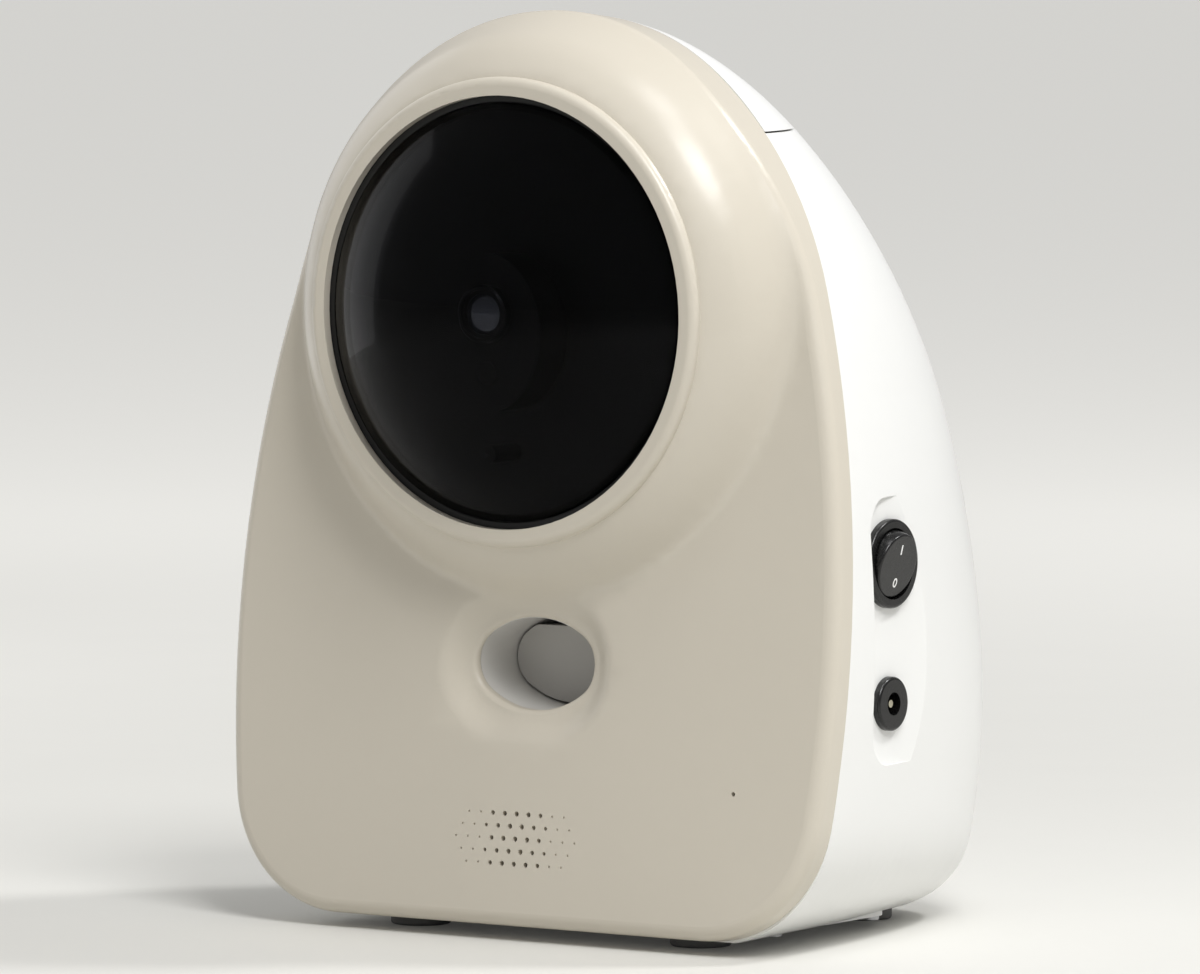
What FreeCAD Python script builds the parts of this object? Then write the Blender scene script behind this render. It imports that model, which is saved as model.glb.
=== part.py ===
import FreeCAD
import Part
import math
import os

# Treat tossing pet camera, in millimetres, +Z up, front towards -Y.
# While it is built, y is measured from the foot of the seam between the cream face and the
# white back, and the finished pieces move so that the origin lies on the floor under the
# middle of the whole camera.

# Arch outline at the seam, along the leaning seam plane
half_width = 95.0
arch_height = 241.0
widest_height = 76.5
side_radius = 333.0
shoulder_radius = 108.5
crown_radius = 71.0
corner_radius = 35.0
body_bottom = 3.3
lean_degrees = 6.04

# Front shell
shell_wall = 2.5
face_depth = 8.0
face_edge_radius = 3.6

# Rear housing, a loft of shrinking arches
rear_depth = 124.0
width_power = 1.3
width_root = 5.2
top_power = 1.76
top_root = 2.15
heel_depth = 18.5
heel_lift = 40.0
floor_overcut = 0.8
section_points = 40
section_shares = (0.0, 0.12, 0.3, 0.5, 0.68, 0.82, 0.92, 0.985)
lid_height = 210.0
lid_gap = 0.5
floor_thickness = 4.5

# Camera window
window_height = 163.4
window_front = -12.3
window_radius = 56.0
bezel_radius = 60.8
collar_front = -9.8
collar_radius = 60.8
collar_curve = 26.0
collar_start = 27.0
collar_end = 66.0
collar_blend = 10.0
skin_step = 3.0
post_radius = 3.4
dome_rise = 20.0
dome_wall = 2.0
dome_flange = 2.5
gasket_width = 3.0
gasket_thickness = 1.4
oval_half_width = 16.8
oval_half_height = 20.4
oval_drop = 5.0
oval_front = -17.5
lens_radius = 7.5
lens_front = -20.4
glass_radius = 5.25
light_sensor_radius = 2.95
light_sensor_height = 148.2
status_light_radius = 0.8
status_light_height = 127.3
status_light_front = -19.0
basket_radius = 57.2
basket_front = -5.4
basket_back = 21.0
basket_wall = 2.0
basket_flange = 0.6
basket_ear_radius = 69.0
carrier_ear_radius = 4.5
lip_thickness = 2.6
lip_round = 2.2
bore_radius = 57.5

# Chute mouth and launch barrel
mouth_height = 71.5
mouth_half_width = 18.5
mouth_half_height = 12.0
mouth_end_radius = 9.0
mouth_front = 3.0
dish_spread = 9.0
dish_depth = 4.0
mouth_round = 1.5
barrel_wall = 2.0
barrel_end = 84.0
plunger_face = 21.5
plunger_thickness = 4.0
plunger_clearance = 0.6
keel_thickness = 4.0
rack_teeth = 14
spring_radius = 7.0
spring_wire = 0.6
spring_turns = 7

# Gears
gear_module = 1.0
pressure_angle = 20.0
addendum = 0.8
dedendum = 1.2
backlash = 0.16
launch_gear_teeth = 16
launch_gear_toothed = 12
launch_gear_y = 60.0
rack_length = 46.0
rack_height = 4.0
drop_length = 18.0
drop_width = 24.0
drop_y = 42.0
gear_width = 8.0
wheel_gear_teeth = 42
wheel_pinion_teeth = 14
wheel_pinion_climb = 20.0

# Treat wheel
wheel_y = 52.0
wheel_height = 124.0
wheel_radius = 25.0
wheel_width = 34.0
wheel_pockets = 6
pocket_radius = 8.5
wheel_gap = 0.8
casing_wall = 2.0
casing_end_gap = 1.0
shaft_radius = 2.5
running_gap = 0.05

# Hopper
hopper_mouth = (72.0, 36.0)
hopper_mouth_corner = 16.0
hopper_throat = (30.0, 26.0)
hopper_y = 47.0
hopper_neck = 4.6
hopper_wall = 1.8
hopper_rim_height = 206.0
hopper_bottom = 157.0
rim_thickness = 2.0
ledge_thickness = 3.0
ledge_opening = 4.0
ear_thickness = 3.0
seal_width = 3.0

# Switch and power inlet on the right side
panel_x = 89.5
panel_front = 21.0
panel_low = 48.0
panel_high = 117.0
panel_corner = 10.0
panel_wall = 2.5
recess_run = 70.0
inlet_y = 34.0
switch_height = 99.7
switch_flange_radius = 11.5
switch_flange = 2.0
switch_body_radius = 10.6
switch_body_depth = 19.0
rocker_radius = 8.8
rocker_well_gap = 0.4
rocker_pivot_x = 90.2
rocker_face = 2.6
rocker_tilt = 14.0
rocker_pin_radius = 1.2
jack_height = 63.6
jack_flange_radius = 7.0
jack_flange = 2.0
jack_body_radius = 5.5
jack_depth = 17.0
jack_bore_radius = 3.0
jack_bore_depth = 9.5
jack_pin_radius = 1.0

# Speaker and microphone
speaker_height = 26.6
speaker_radius = 18.0
speaker_depth = 11.0
hole_pitch = 3.75
hole_rows = (9, 10, 11, 10, 9)
hole_radii = (0.7, 0.62, 0.5)
dimple_radius = 0.3
dimple_depth = 0.4
microphone_x = 67.0
microphone_height = 42.0
microphone_hole_radius = 0.6

# Base, feet and screws
plate_half_width = 62.0
plate_front = 28.0
plate_back = 80.0
plate_thickness = 2.0
plate_corner = 8.0
plate_ledge = 6.0
foot_radius = 8.0
foot_x = 44.5
foot_front_y = 15.0
foot_rear_y = 91.0
foot_peg_radius = 2.5
screw_radius = 1.25
screw_head_radius = 2.6
screw_head = 1.6

# Inner frame, motors and boards
frame_inside = 27.0
frame_wall = 3.0
frame_low_front = 14.0
frame_step_high = 95.4
frame_step_low = 81.4
frame_windows = ((39.0, 22.0), (70.0, 22.0))
frame_window_half = (9.0, 8.0)
frame_window_corner = 4.0
frame_foot = (9.0, 2.5)
low_tie_height = 18.0
high_tie_height = 108.0
shaft_reach = 8.0
camera_board_half = (20.0, 14.0)
camera_board_thickness = 1.4
lens_holder_half = 8.8
lens_holder_front = -9.0
camera_post_x = 17.5
camera_post_z = 10.0
camera_post_radius = 1.6
radio_y = (54.0, 74.0)
radio_z = (50.0, 66.0)
radio_thickness = 2.6
shield_y = (30.0, 48.0)
shield_z = (40.0, 58.0)
shield_corner = 1.5
shield_thickness = 3.0
socket_y = (30.0, 44.0, 58.0)
socket_size = (6.0, 9.0, 6.0)
socket_low = 20.0
capacitor_y = 66.0
capacitor_z = 38.0
capacitor_radius = 4.0
capacitor_length = 11.0
frame_high_front = 24.5
frame_back = 90.0
frame_top = 146.0
tie_radius = 3.0
motor_gearbox_radius = 12.0
motor_gearbox_length = 13.0
motor_radius = 10.0
motor_length = 24.0
board_gap = 6.0
board_thickness = 1.6
board_y = (20.0, 84.0)
board_z = (14.0, 74.0)

# Lid hinge
knuckle_radius = 2.6
knuckle_relief = 3.2
knuckle_half = 5.0
knuckle_reach = 15.0
hinge_out = 1.0
pin_radius = 1.0

# Clearances
fit_gap = 0.2
moving_gap = 0.35

# Worked out from the driving sizes
lean = math.radians(lean_degrees)
floor_top = body_bottom + floor_thickness
dome_rim_y = window_front + 2.0
dome_neck_radius = window_radius - gasket_width + 0.9
gasket_front = window_front + lip_thickness + fit_gap
dome_flange_front = gasket_front + gasket_thickness
front_reach = dome_rise - dome_rim_y


def vec(x, y, z):
    return FreeCAD.Vector(x, y, z)


def leaned(shape):
    """The shape, built upright on the seam plane, leaned back with the seam."""
    copy = shape.copy()
    copy.rotate(vec(0, 0, 0), vec(1, 0, 0), -lean_degrees)
    return copy


def rod(start, end, radius):
    """A round bar from one point to another."""
    along = end.sub(start)
    return Part.makeCylinder(radius, along.Length, start, along)


def tube(start, end, radius, bore):
    return rod(start, end, radius).cut(rod(start, end, bore))


def box(x, y, z):
    """A box from three (low, high) pairs."""
    size = (x[1] - x[0], y[1] - y[0], z[1] - z[0])
    return Part.makeBox(size[0], size[1], size[2], vec(x[0], y[0], z[0]))


def fused(shapes):
    whole = shapes[0]
    for shape in shapes[1:]:
        whole = whole.fuse(shape)
    return whole.removeSplitter()


def arc_about(centre, radius, start, end):
    """The short arc from start to end about a centre, in the XZ plane."""
    a = math.atan2(start[1] - centre[1], start[0] - centre[0])
    b = math.atan2(end[1] - centre[1], end[0] - centre[0])
    if b - a > math.pi:
        b -= 2 * math.pi
    if a - b > math.pi:
        b += 2 * math.pi
    middle = (a + b) / 2
    through = (centre[0] + radius * math.cos(middle), centre[1] + radius * math.sin(middle))
    points = [vec(p[0], 0, p[1]) for p in (start, through, end)]
    return Part.Arc(*points).toShape()


def arch_wire(inset=0.0):
    """The arch: flat foot, round corners, long side arcs, shoulders and a crown arc."""
    side_centre = (half_width - side_radius, widest_height)
    crown_centre = (0.0, arch_height - crown_radius)
    gap = math.hypot(crown_centre[0] - side_centre[0], crown_centre[1] - side_centre[1])
    to_side = side_radius - shoulder_radius
    to_crown = shoulder_radius - crown_radius
    along = (gap ** 2 + to_side ** 2 - to_crown ** 2) / (2 * gap)
    across = math.sqrt(to_side ** 2 - along ** 2)
    ux = (crown_centre[0] - side_centre[0]) / gap
    uz = (crown_centre[1] - side_centre[1]) / gap
    shoulder_centre = (side_centre[0] + ux * along + uz * across,
                       side_centre[1] + uz * along - ux * across)
    corner_z = body_bottom + corner_radius
    corner_x = side_centre[0] + math.sqrt((side_radius - corner_radius) ** 2
                                          - (corner_z - widest_height) ** 2)
    corner_centre = (corner_x, corner_z)

    def beyond(inner, outer, radius):
        """The point at a radius from inner, on the line from outer through inner."""
        length = math.hypot(inner[0] - outer[0], inner[1] - outer[1])
        return (inner[0] + (inner[0] - outer[0]) / length * radius,
                inner[1] + (inner[1] - outer[1]) / length * radius)

    foot = (corner_x, body_bottom + inset)
    low = beyond(corner_centre, side_centre, corner_radius - inset)
    high = beyond(shoulder_centre, side_centre, shoulder_radius - inset)
    top = beyond(crown_centre, shoulder_centre, crown_radius - inset)
    crown = (0.0, arch_height - inset)

    def right_half():
        return [arc_about(corner_centre, corner_radius - inset, foot, low),
                arc_about(side_centre, side_radius - inset, low, high),
                arc_about(shoulder_centre, shoulder_radius - inset, high, top),
                arc_about(crown_centre, crown_radius - inset, top, crown)]

    right = right_half()
    left = [edge.mirror(vec(0, 0, 0), vec(1, 0, 0)) for edge in right]
    base = Part.makeLine(vec(-foot[0], 0, foot[1]), vec(foot[0], 0, foot[1]))
    return Part.Wire(Part.__sortEdges__([base] + right + left))


def arch_prism(inset, front, back):
    """An upright prism of the arch between two depths; y is negative to the front."""
    wire = arch_wire(inset)
    wire.translate(vec(0, front, 0))
    return Part.Face(wire).extrude(vec(0, back - front, 0))


def rear_section(depth, inset, outline):
    """The arch shrunk to its size at one depth behind the seam, as one smooth closed curve."""
    full = rear_depth - inset
    share = depth / full
    base = body_bottom + inset
    crown = arch_height - inset
    slope = math.tan(lean)
    low = base - floor_overcut + depth * slope
    pole = base + full * slope + heel_lift
    if depth > full - heel_depth:
        turn = (depth - (full - heel_depth)) / heel_depth
        low += heel_lift * (1 - math.sqrt(1 - turn ** 2))
    high = pole + (crown - pole) * (1 - share ** top_power) ** (1 / top_root)
    across = (1 - share ** width_power) ** (1 / width_root)
    tall = (high - low) / (crown - base)
    points = [vec(p.x * across, depth, low + (p.z - base) * tall) for p in outline]
    spread = [0.0]
    for here, after in zip(outline, outline[1:] + outline[:1]):
        spread.append(spread[-1] + here.distanceToPoint(after))
    curve = Part.BSplineCurve()
    curve.interpolate(Points=points, PeriodicFlag=True, Parameters=spread)
    return Part.Wire(curve.toShape())


def rear_form(inset, floor):
    """The white form as a loft of shrinking arches, cut flat at its floor."""
    full = rear_depth - inset
    outline = arch_wire(inset).discretize(Number=section_points + 1)[:-1]
    wires = [rear_section(full * share, inset, outline) for share in section_shares]
    form = leaned(Part.makeLoft(wires, True, False))
    above = box((-2 * half_width, 2 * half_width), (-rear_depth, 2 * rear_depth),
                (floor, 2 * arch_height))
    return form.common(above)


def seam_side(front, back):
    """A block between two depths behind the seam plane, much larger than the camera."""
    wide = 2 * half_width
    tall = 2 * arch_height
    return leaned(box((-wide, wide), (front, back), (-tall, tall)))


def back_point(height):
    """The y of the white back on the middle plane, at one height."""
    low, high = 1.0, 0.9 * rear_depth
    for _ in range(50):
        depth = (low + high) / 2
        pole = body_bottom + rear_depth * math.tan(lean) + heel_lift
        rise = (1 - (depth / rear_depth) ** top_power) ** (1 / top_root)
        up = pole + (arch_height - pole) * rise
        if up * math.cos(lean) - depth * math.sin(lean) > height:
            low = depth
        else:
            high = depth
    return depth * math.cos(lean) + up * math.sin(lean)


def oval_wire(half_long, half_high, end_radius, y, z):
    """A four-arc oval facing the front, centred on the middle plane."""
    reach = half_long - end_radius
    flat_radius = (reach ** 2 + half_high ** 2 - end_radius ** 2) / (2 * (half_high - end_radius))
    drop = flat_radius - half_high
    length = math.hypot(reach, drop)
    touch_x = reach / length * flat_radius
    touch_z = drop / length * flat_radius - drop
    points = {
        "right": vec(half_long, y, z), "left": vec(-half_long, y, z),
        "top": vec(0, y, z + half_high), "bottom": vec(0, y, z - half_high),
        "ne": vec(touch_x, y, z + touch_z), "nw": vec(-touch_x, y, z + touch_z),
        "se": vec(touch_x, y, z - touch_z), "sw": vec(-touch_x, y, z - touch_z),
    }
    arcs = [("se", "right", "ne"), ("ne", "top", "nw"), ("nw", "left", "sw"), ("sw", "bottom", "se")]
    return Part.Wire([Part.Arc(*[points[name] for name in arc]).toShape() for arc in arcs])


def oval_prism(grow, front, back):
    """The mouth's oval, grown all round, between two y values."""
    wire = oval_wire(mouth_half_width + grow, mouth_half_height + grow,
                     mouth_end_radius + grow, front, mouth_height)
    return Part.Face(wire).extrude(vec(0, back - front, 0))


def rounded_wire(half_x, half_y, corner, x, y, z):
    """A rounded rectangle lying flat at a height."""
    edges = []
    corners = ((1, 1), (-1, 1), (-1, -1), (1, -1))
    starts = []
    ends = []
    for index, (sx, sy) in enumerate(corners):
        cx = x + sx * (half_x - corner)
        cy = y + sy * (half_y - corner)
        turn = math.radians(90 * index)
        at = [vec(cx + corner * math.cos(turn + a), cy + corner * math.sin(turn + a), z)
              for a in (0, math.pi / 4, math.pi / 2)]
        edges.append(Part.Arc(*at).toShape())
        starts.append(at[0])
        ends.append(at[2])
    for index in range(4):
        edges.append(Part.makeLine(ends[index], starts[(index + 1) % 4]))
    return Part.Wire(Part.__sortEdges__(edges))


def rounded_block(half_x, half_y, corner, x, y, low, high):
    wire = rounded_wire(half_x, half_y, corner, x, y, low)
    return Part.Face(wire).extrude(vec(0, 0, high - low))


def side_plate_block(y, z, corner, x):
    """A rounded rectangle seen from the side, between two x values."""
    half_y = (y[1] - y[0]) / 2
    half_z = (z[1] - z[0]) / 2
    block = rounded_block(half_z, half_y, corner, 0, 0, 0, x[1] - x[0])
    block.rotate(vec(0, 0, 0), vec(0, 1, 0), 90)
    block.translate(vec(x[0], y[0] + half_y, z[0] + half_z))
    return block


def involute_offset(radius, teeth):
    """How far the flank at a radius has turned from its foot on the base circle."""
    base = gear_module * teeth / 2 * math.cos(math.radians(pressure_angle))
    if radius <= base:
        return 0.0
    angle = math.acos(base / radius)
    return math.tan(angle) - angle


def gear(teeth, width, first, count, x, y, z, turn):
    """A spur gear on an X axis; only `count` teeth stand, from tooth `first` on."""
    pitch = gear_module * teeth / 2
    root = pitch - dedendum * gear_module
    tip = pitch + addendum * gear_module
    start = max(root, pitch * math.cos(math.radians(pressure_angle)))
    half = (math.pi * gear_module / 2 - backlash) / (2 * pitch) + involute_offset(pitch, teeth)
    radii = [start + (tip - start) * share for share in (0.0, 0.4, 1.0)]
    body = rod(vec(0, 0, 0), vec(width, 0, 0), root)
    step = 2 * math.pi / teeth
    solids = []
    for index in range(first, first + count):
        middle = turn + index * step
        flank = []
        for radius in radii:
            swing = half - involute_offset(radius, teeth)
            flank.append((radius, swing))
        rising = [(root - 0.3, flank[0][1])] + flank
        points = [(r, middle - a) for r, a in rising] + [(r, middle + a) for r, a in reversed(rising)]
        corners = [vec(0, r * math.cos(a), r * math.sin(a)) for r, a in points]
        solids.append(Part.Face(Part.makePolygon(corners + corners[:1])).extrude(vec(width, 0, 0)))
    whole = body.multiFuse(solids).removeSplitter()
    whole.translate(vec(x, y, z))
    return whole


launch_radius = gear_module * launch_gear_teeth / 2
rack_pitch_z = mouth_height - mouth_half_height - barrel_wall - 0.5 - rack_height - addendum * gear_module
launch_gear_z = rack_pitch_z - launch_radius
wheel_gear_radius = gear_module * wheel_gear_teeth / 2
pinion_radius = gear_module * wheel_pinion_teeth / 2
centre_distance = wheel_gear_radius + pinion_radius + 0.1
climb = math.radians(wheel_pinion_climb)
pinion_y = wheel_y + centre_distance * math.cos(climb)
pinion_z = wheel_height + centre_distance * math.sin(climb)
casing_radius = wheel_radius + wheel_gap + casing_wall
casing_half = wheel_width / 2 + casing_end_gap + casing_wall
gear_x = -(casing_half + 1.0)


def collar_y(radius):
    """Profile of the swollen collar round the window: a long convex arc that runs out straight."""
    first = math.radians(collar_start)
    last = math.radians(collar_end)
    swing = math.sin(first) + (radius - collar_radius) / collar_curve
    if swing < math.sin(last):
        return collar_front + collar_curve * (math.cos(first) - math.sqrt(1 - swing ** 2))
    end = collar_radius + collar_curve * (math.sin(last) - math.sin(first))
    rise = collar_front + collar_curve * (math.cos(first) - math.cos(last))
    return rise + (radius - end) * math.tan(last)


def mouth_distance(x, up):
    """How far a point of the face lies outside the mouth, taken as a round-cornered oblong."""
    corner = mouth_half_height - 1.0
    dx = abs(x) - (mouth_half_width - corner)
    dz = abs(up - mouth_height) - (mouth_half_height - corner)
    return math.hypot(max(dx, 0), max(dz, 0)) + min(max(dx, dz), 0) - corner


def skin_height(x, along):
    """How far the face stands in front of the seam plane: flat, with the collar and the dish."""
    height = face_depth
    for _ in range(12):
        z = height * math.sin(lean) + along * math.cos(lean)
        y = collar_y(max(math.hypot(x, z - window_height), collar_radius))
        height = (along * math.sin(lean) - y) / math.cos(lean)
    over = max(collar_blend - abs(height - face_depth), 0.0)
    skin = max(height, face_depth) + over ** 2 / (4 * collar_blend)
    share = mouth_distance(x, face_depth * math.sin(lean) + along * math.cos(lean)) / dish_spread
    share = min(max(share, 0.0), 1.0)
    return skin - dish_depth * (1 - share) ** 2 * (1 + 2 * share)


def skin_block():
    """The solid behind the moulded skin, inside the arch."""
    columns = int(half_width / skin_step) + 1
    rows = int(arch_height / skin_step) + 3
    grid = []
    for column in range(-columns, columns + 1):
        x = column * skin_step
        grid.append([vec(x, -skin_height(x, row * skin_step), row * skin_step) for row in range(-1, rows)])
    skin = Part.BSplineSurface()
    skin.interpolate(grid)
    behind = skin.toShape().extrude(vec(0, half_width, 0))
    return behind.common(arch_prism(0.0, -half_width, 0.0))


def face_block():
    """The cream face as one solid block, its outer edge rounded over."""
    block = skin_block()
    rim = [edge for edge in block.Edges if edge.BoundBox.YMax < -face_depth / 2
           and max(edge.BoundBox.XLength, edge.BoundBox.ZLength) > 1.0]
    return leaned(block.makeFillet(face_edge_radius, rim))


def mouth_cut(block):
    """The face with the chute's mouth through it, its front edge rounded over."""
    opened = block.cut(oval_prism(0.0, 2 * window_front, half_width))
    edges = [edge for edge in opened.Edges if edge.BoundBox.ZMax < mouth_height + mouth_half_height + 0.5
             and edge.BoundBox.ZMin > mouth_height - mouth_half_height - 0.5
             and edge.BoundBox.YMax < mouth_front + 2 and edge.Length > 1
             and abs(edge.BoundBox.Center.x) < mouth_half_width]
    return opened.makeFillet(mouth_round, edges)


def front_shell():
    """Cream face: moulded skin, window ring, chute mouth, speaker grille and screw posts."""
    axis = window_height
    bore_back = basket_front + 2.5
    skirt_back = 2 * basket_back
    outer = mouth_cut(face_block())
    outer = outer.cut(rod(vec(0, -half_width, axis), vec(0, collar_front, axis), bezel_radius - 0.3))
    ring = rod(vec(0, window_front, axis), vec(0, basket_front, axis), bezel_radius)
    lip = [edge for edge in ring.Edges if edge.BoundBox.YMax < window_front + 1e-3]
    outer = outer.fuse(ring.makeFillet(lip_round, lip)).removeSplitter()

    hollow = leaned(arch_prism(shell_wall, -(face_depth - shell_wall), 1.0))
    pad = oval_prism(dish_spread, 2 * window_front, mouth_front + shell_wall)
    bore = rod(vec(0, 2 * window_front, axis), vec(0, basket_back, axis), window_radius)
    seat = rod(vec(0, window_front + lip_thickness, axis), vec(0, bore_back, axis), bore_radius)
    inside = rod(vec(0, bore_back, axis), vec(0, skirt_back, axis), bezel_radius - shell_wall)
    ear_front = basket_back - basket_wall - moving_gap
    notches = [carrier_arm(x, z, moving_gap, 2 * basket_back)
               .fuse(rod(vec(x, ear_front, z), vec(x, 2 * basket_back, z), carrier_ear_radius + moving_gap))
               for x, z in ear_places()]
    skirt = rod(vec(0, bore_back - 1, axis), vec(0, skirt_back, axis), bezel_radius)
    hollow = hollow.cut([pad, skirt])
    shell = outer.cut([hollow, inside, bore, seat] + notches)
    shell = shell.multiFuse(carrier_posts() + face_posts())
    drills = [leaned(rod(vec(x, -(face_depth - shell_wall) + 0.8, z), vec(x, 1.0, z), screw_radius))
              for x, z in shell_posts()]
    drills += [rod(vec(x, basket_back - 6.0, z), vec(x, basket_back, z), screw_radius)
               for x, z in ear_places()]
    return shell.cut(drills + grille_cuts()).removeSplitter()


def face_posts():
    """Screw posts that stand on the back of the skin."""
    front = -(face_depth - shell_wall)
    return [leaned(rod(vec(x, front, z), vec(x, 0, z), post_radius)) for x, z in shell_posts()]


def shell_posts():
    return [(side * x, z) for x, z in ((80.0, 44.0), (76.5, 132.0)) for side in (-1, 1)]


def grille_cuts():
    """The speaker's through holes and blind dimples, and the microphone hole."""
    up = speaker_height / math.cos(lean) - face_depth * math.tan(lean)
    cuts = []
    rows = len(hole_rows)
    through = {9: 5, 10: 6, 11: 5}
    for row, count in enumerate(hole_rows):
        z = up + ((rows - 1) / 2 - row) * hole_pitch * math.sin(math.radians(60))
        for column in range(count):
            x = (column - (count - 1) / 2) * hole_pitch
            place = abs(column - (count - 1) / 2)
            if place <= through[count] / 2:
                radius = hole_radii[min(int(place / 1.2), len(hole_radii) - 1)]
                back = -(face_depth - shell_wall) + 1.0
            else:
                radius = dimple_radius
                back = -face_depth + dimple_depth
            cuts.append(leaned(rod(vec(x, -face_depth - 1.0, z), vec(x, back, z), radius)))
    z = microphone_height / math.cos(lean) - face_depth * math.tan(lean)
    front = vec(microphone_x, -face_depth - 1.0, z)
    back = vec(microphone_x, -(face_depth - shell_wall) + 1.0, z)
    cuts.append(leaned(rod(front, back, microphone_hole_radius)))
    return cuts


def rear_pair():
    """The outer white form and the hollow inside it."""
    return rear_form(0.0, body_bottom), rear_form(shell_wall, floor_top)


def slab(low, high):
    wide = 3 * half_width
    return box((-wide, wide), (-wide, wide), (low, high))


def switch_centre(x):
    return vec(x, inlet_y, switch_height)


def jack_centre(x):
    return vec(x, inlet_y, jack_height)


def knuckle_spans(side):
    """The stretches of the hinge line that belong to the housing or to the lid."""
    if side == "housing":
        return [(-knuckle_half + moving_gap / 2, knuckle_half - moving_gap / 2)]
    inner = knuckle_half + moving_gap / 2
    return [(inner, knuckle_reach), (-knuckle_reach, -inner)]


def hinge_y():
    """The hinge line lies just outside the back, so that the lid's rear edge lifts clear."""
    return back_point(lid_height) + hinge_out


def hinge_line(start, end, radius):
    return rod(vec(start, hinge_y(), lid_height), vec(end, hinge_y(), lid_height), radius)


def rear_housing(outer, inner):
    """White back: moulded shell, side panel recess, rim ledge, hinge ear, base opening."""
    pad = side_plate_block((panel_front - panel_wall, panel_front + recess_run),
                           (panel_low - panel_wall, panel_high + panel_wall),
                           panel_corner + panel_wall, (panel_x - panel_wall, 2 * half_width))
    hollow = inner.cut([pad, ledge_block()] + [shell_ear(x, z) for x, z in shell_posts()])
    recess = side_plate_block((panel_front, panel_front + recess_run), (panel_low, panel_high),
                              panel_corner, (panel_x, 2 * half_width))
    through = 3 * panel_wall
    cuts = [hollow, recess,
            rod(switch_centre(panel_x - through), switch_centre(panel_x + 1),
                switch_body_radius + fit_gap / 2),
            rod(jack_centre(panel_x - through), jack_centre(panel_x + 1), jack_body_radius + fit_gap / 2),
            hinge_line(-knuckle_reach - 1, knuckle_reach + 1, knuckle_relief)]
    middle = (plate_front + plate_back) / 2
    half = (plate_back - plate_front) / 2
    cuts.append(rounded_block(plate_half_width, half, plate_corner, 0, middle,
                              body_bottom - 1, body_bottom + plate_thickness))
    cuts.append(rounded_block(plate_half_width - plate_ledge, half - plate_ledge, plate_corner,
                              0, middle, body_bottom, floor_top + 1))
    cuts += [rod(vec(x, y, body_bottom - 1), vec(x, y, floor_top - 1), screw_radius)
             for x, y in base_screw_places()]
    cuts += [rod(vec(x, y, body_bottom - 1), vec(x, y, body_bottom + 3.0), foot_peg_radius)
             for x, y in foot_places()]
    cuts += [rod(vec(x, y, floor_top - 3.0), vec(x, y, floor_top + 1), screw_radius)
             for x, y in frame_screw_places()]
    cuts += [leaned(rod(vec(x, -1.0, z), vec(x, ear_thickness + 1, z), screw_radius))
             for x, z in shell_posts()]
    below = slab(-1.0, lid_height - lid_gap / 2)
    shell = outer.common(below).cut(cuts)
    span = knuckle_spans("housing")[0]
    ear = hinge_line(span[0], span[1], knuckle_radius)
    web = box(span, (hinge_y() - 3.4, hinge_y()), (lid_height - 7.0, lid_height - lid_gap / 2))
    shell = shell.multiFuse([ear.fuse(web)])
    return shell.cut(hinge_line(-knuckle_reach - 2, knuckle_reach + 2, pin_radius)).removeSplitter()


def ledge_block():
    """The slab round the bucket that stays standing in the hollow as the hopper's ledge."""
    low = hopper_rim_height - ledge_thickness
    opening = rounded_block(hopper_mouth[0] / 2 + ledge_opening, 2 * hopper_y, 6.0, 0,
                            hopper_y - 1.5 * hopper_mouth[1] - 6.0, low - 1, hopper_rim_height + 1)
    return slab(low, hopper_rim_height).cut(opening)


def shell_ear(x, z):
    """Block behind the seam that takes a screw into the front shell's post."""
    edge = 1.25 * x
    block = box((min(x, edge), max(x, edge)), (-1.0, ear_thickness), (z - 5, z + 5))
    return leaned(block.fuse(rod(vec(x, -1.0, z), vec(x, ear_thickness, z), 5.0)).removeSplitter())


def base_screw_places():
    middle = (plate_front + plate_back) / 2
    reach_x = plate_half_width - plate_ledge / 2 - 3.0
    reach_y = (plate_back - plate_front) / 2 - plate_ledge / 2
    return [(x, middle + y) for x in (-reach_x, reach_x) for y in (-reach_y, reach_y)]


def foot_places():
    return [(x, y) for y in (foot_front_y, foot_rear_y) for x in (-foot_x, foot_x)]


def frame_screw_places():
    x = frame_inside + frame_wall + 4.5
    return [(side * x, y) for side in (-1, 1) for y in (frame_low_front + 3.0, frame_back - 4.0)]


def lid(outer, inner):
    """White hopper lid, the top of the back, with two hinge ears."""
    above = slab(lid_height + lid_gap / 2, 2 * arch_height)
    shell = outer.common(above).common(seam_side(0.6, 2 * rear_depth)).cut(inner)
    shell = shell.cut(hinge_line(-knuckle_reach - 1, knuckle_reach + 1, knuckle_relief))
    pieces = []
    for span in knuckle_spans("lid"):
        pieces.append(hinge_line(*span, knuckle_radius))
        low = lid_height + lid_gap / 2
        web = box(span, (hinge_y() - 9.0, hinge_y()), (low, low + 2.2)).common(outer)
        pieces.append(web)
    shell = shell.multiFuse(pieces)
    bore = hinge_line(-knuckle_reach - 2, knuckle_reach + 2, pin_radius + running_gap)
    return shell.cut(bore).removeSplitter()


def eased(inner, height):
    """The hollow shrunk by a hair about the middle of one height, for plates that drop into it."""
    ease = 1 - fit_gap / (half_width / 2)
    return inner.scaled(ease, vec(0, hopper_y, height))


def lid_liner(inner):
    """Flat plate that closes the lid from below and carries the seal."""
    low = lid_height + lid_gap / 2 + 2 * fit_gap
    plate = eased(inner, low).common(slab(low, low + 2.0)).common(seam_side(2.6, 2 * rear_depth))
    return plate.cut(box((-knuckle_reach - 2, knuckle_reach + 2), (hinge_y() - 9.4, hinge_y() + 20),
                         (low - 1, low + 4)))


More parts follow.
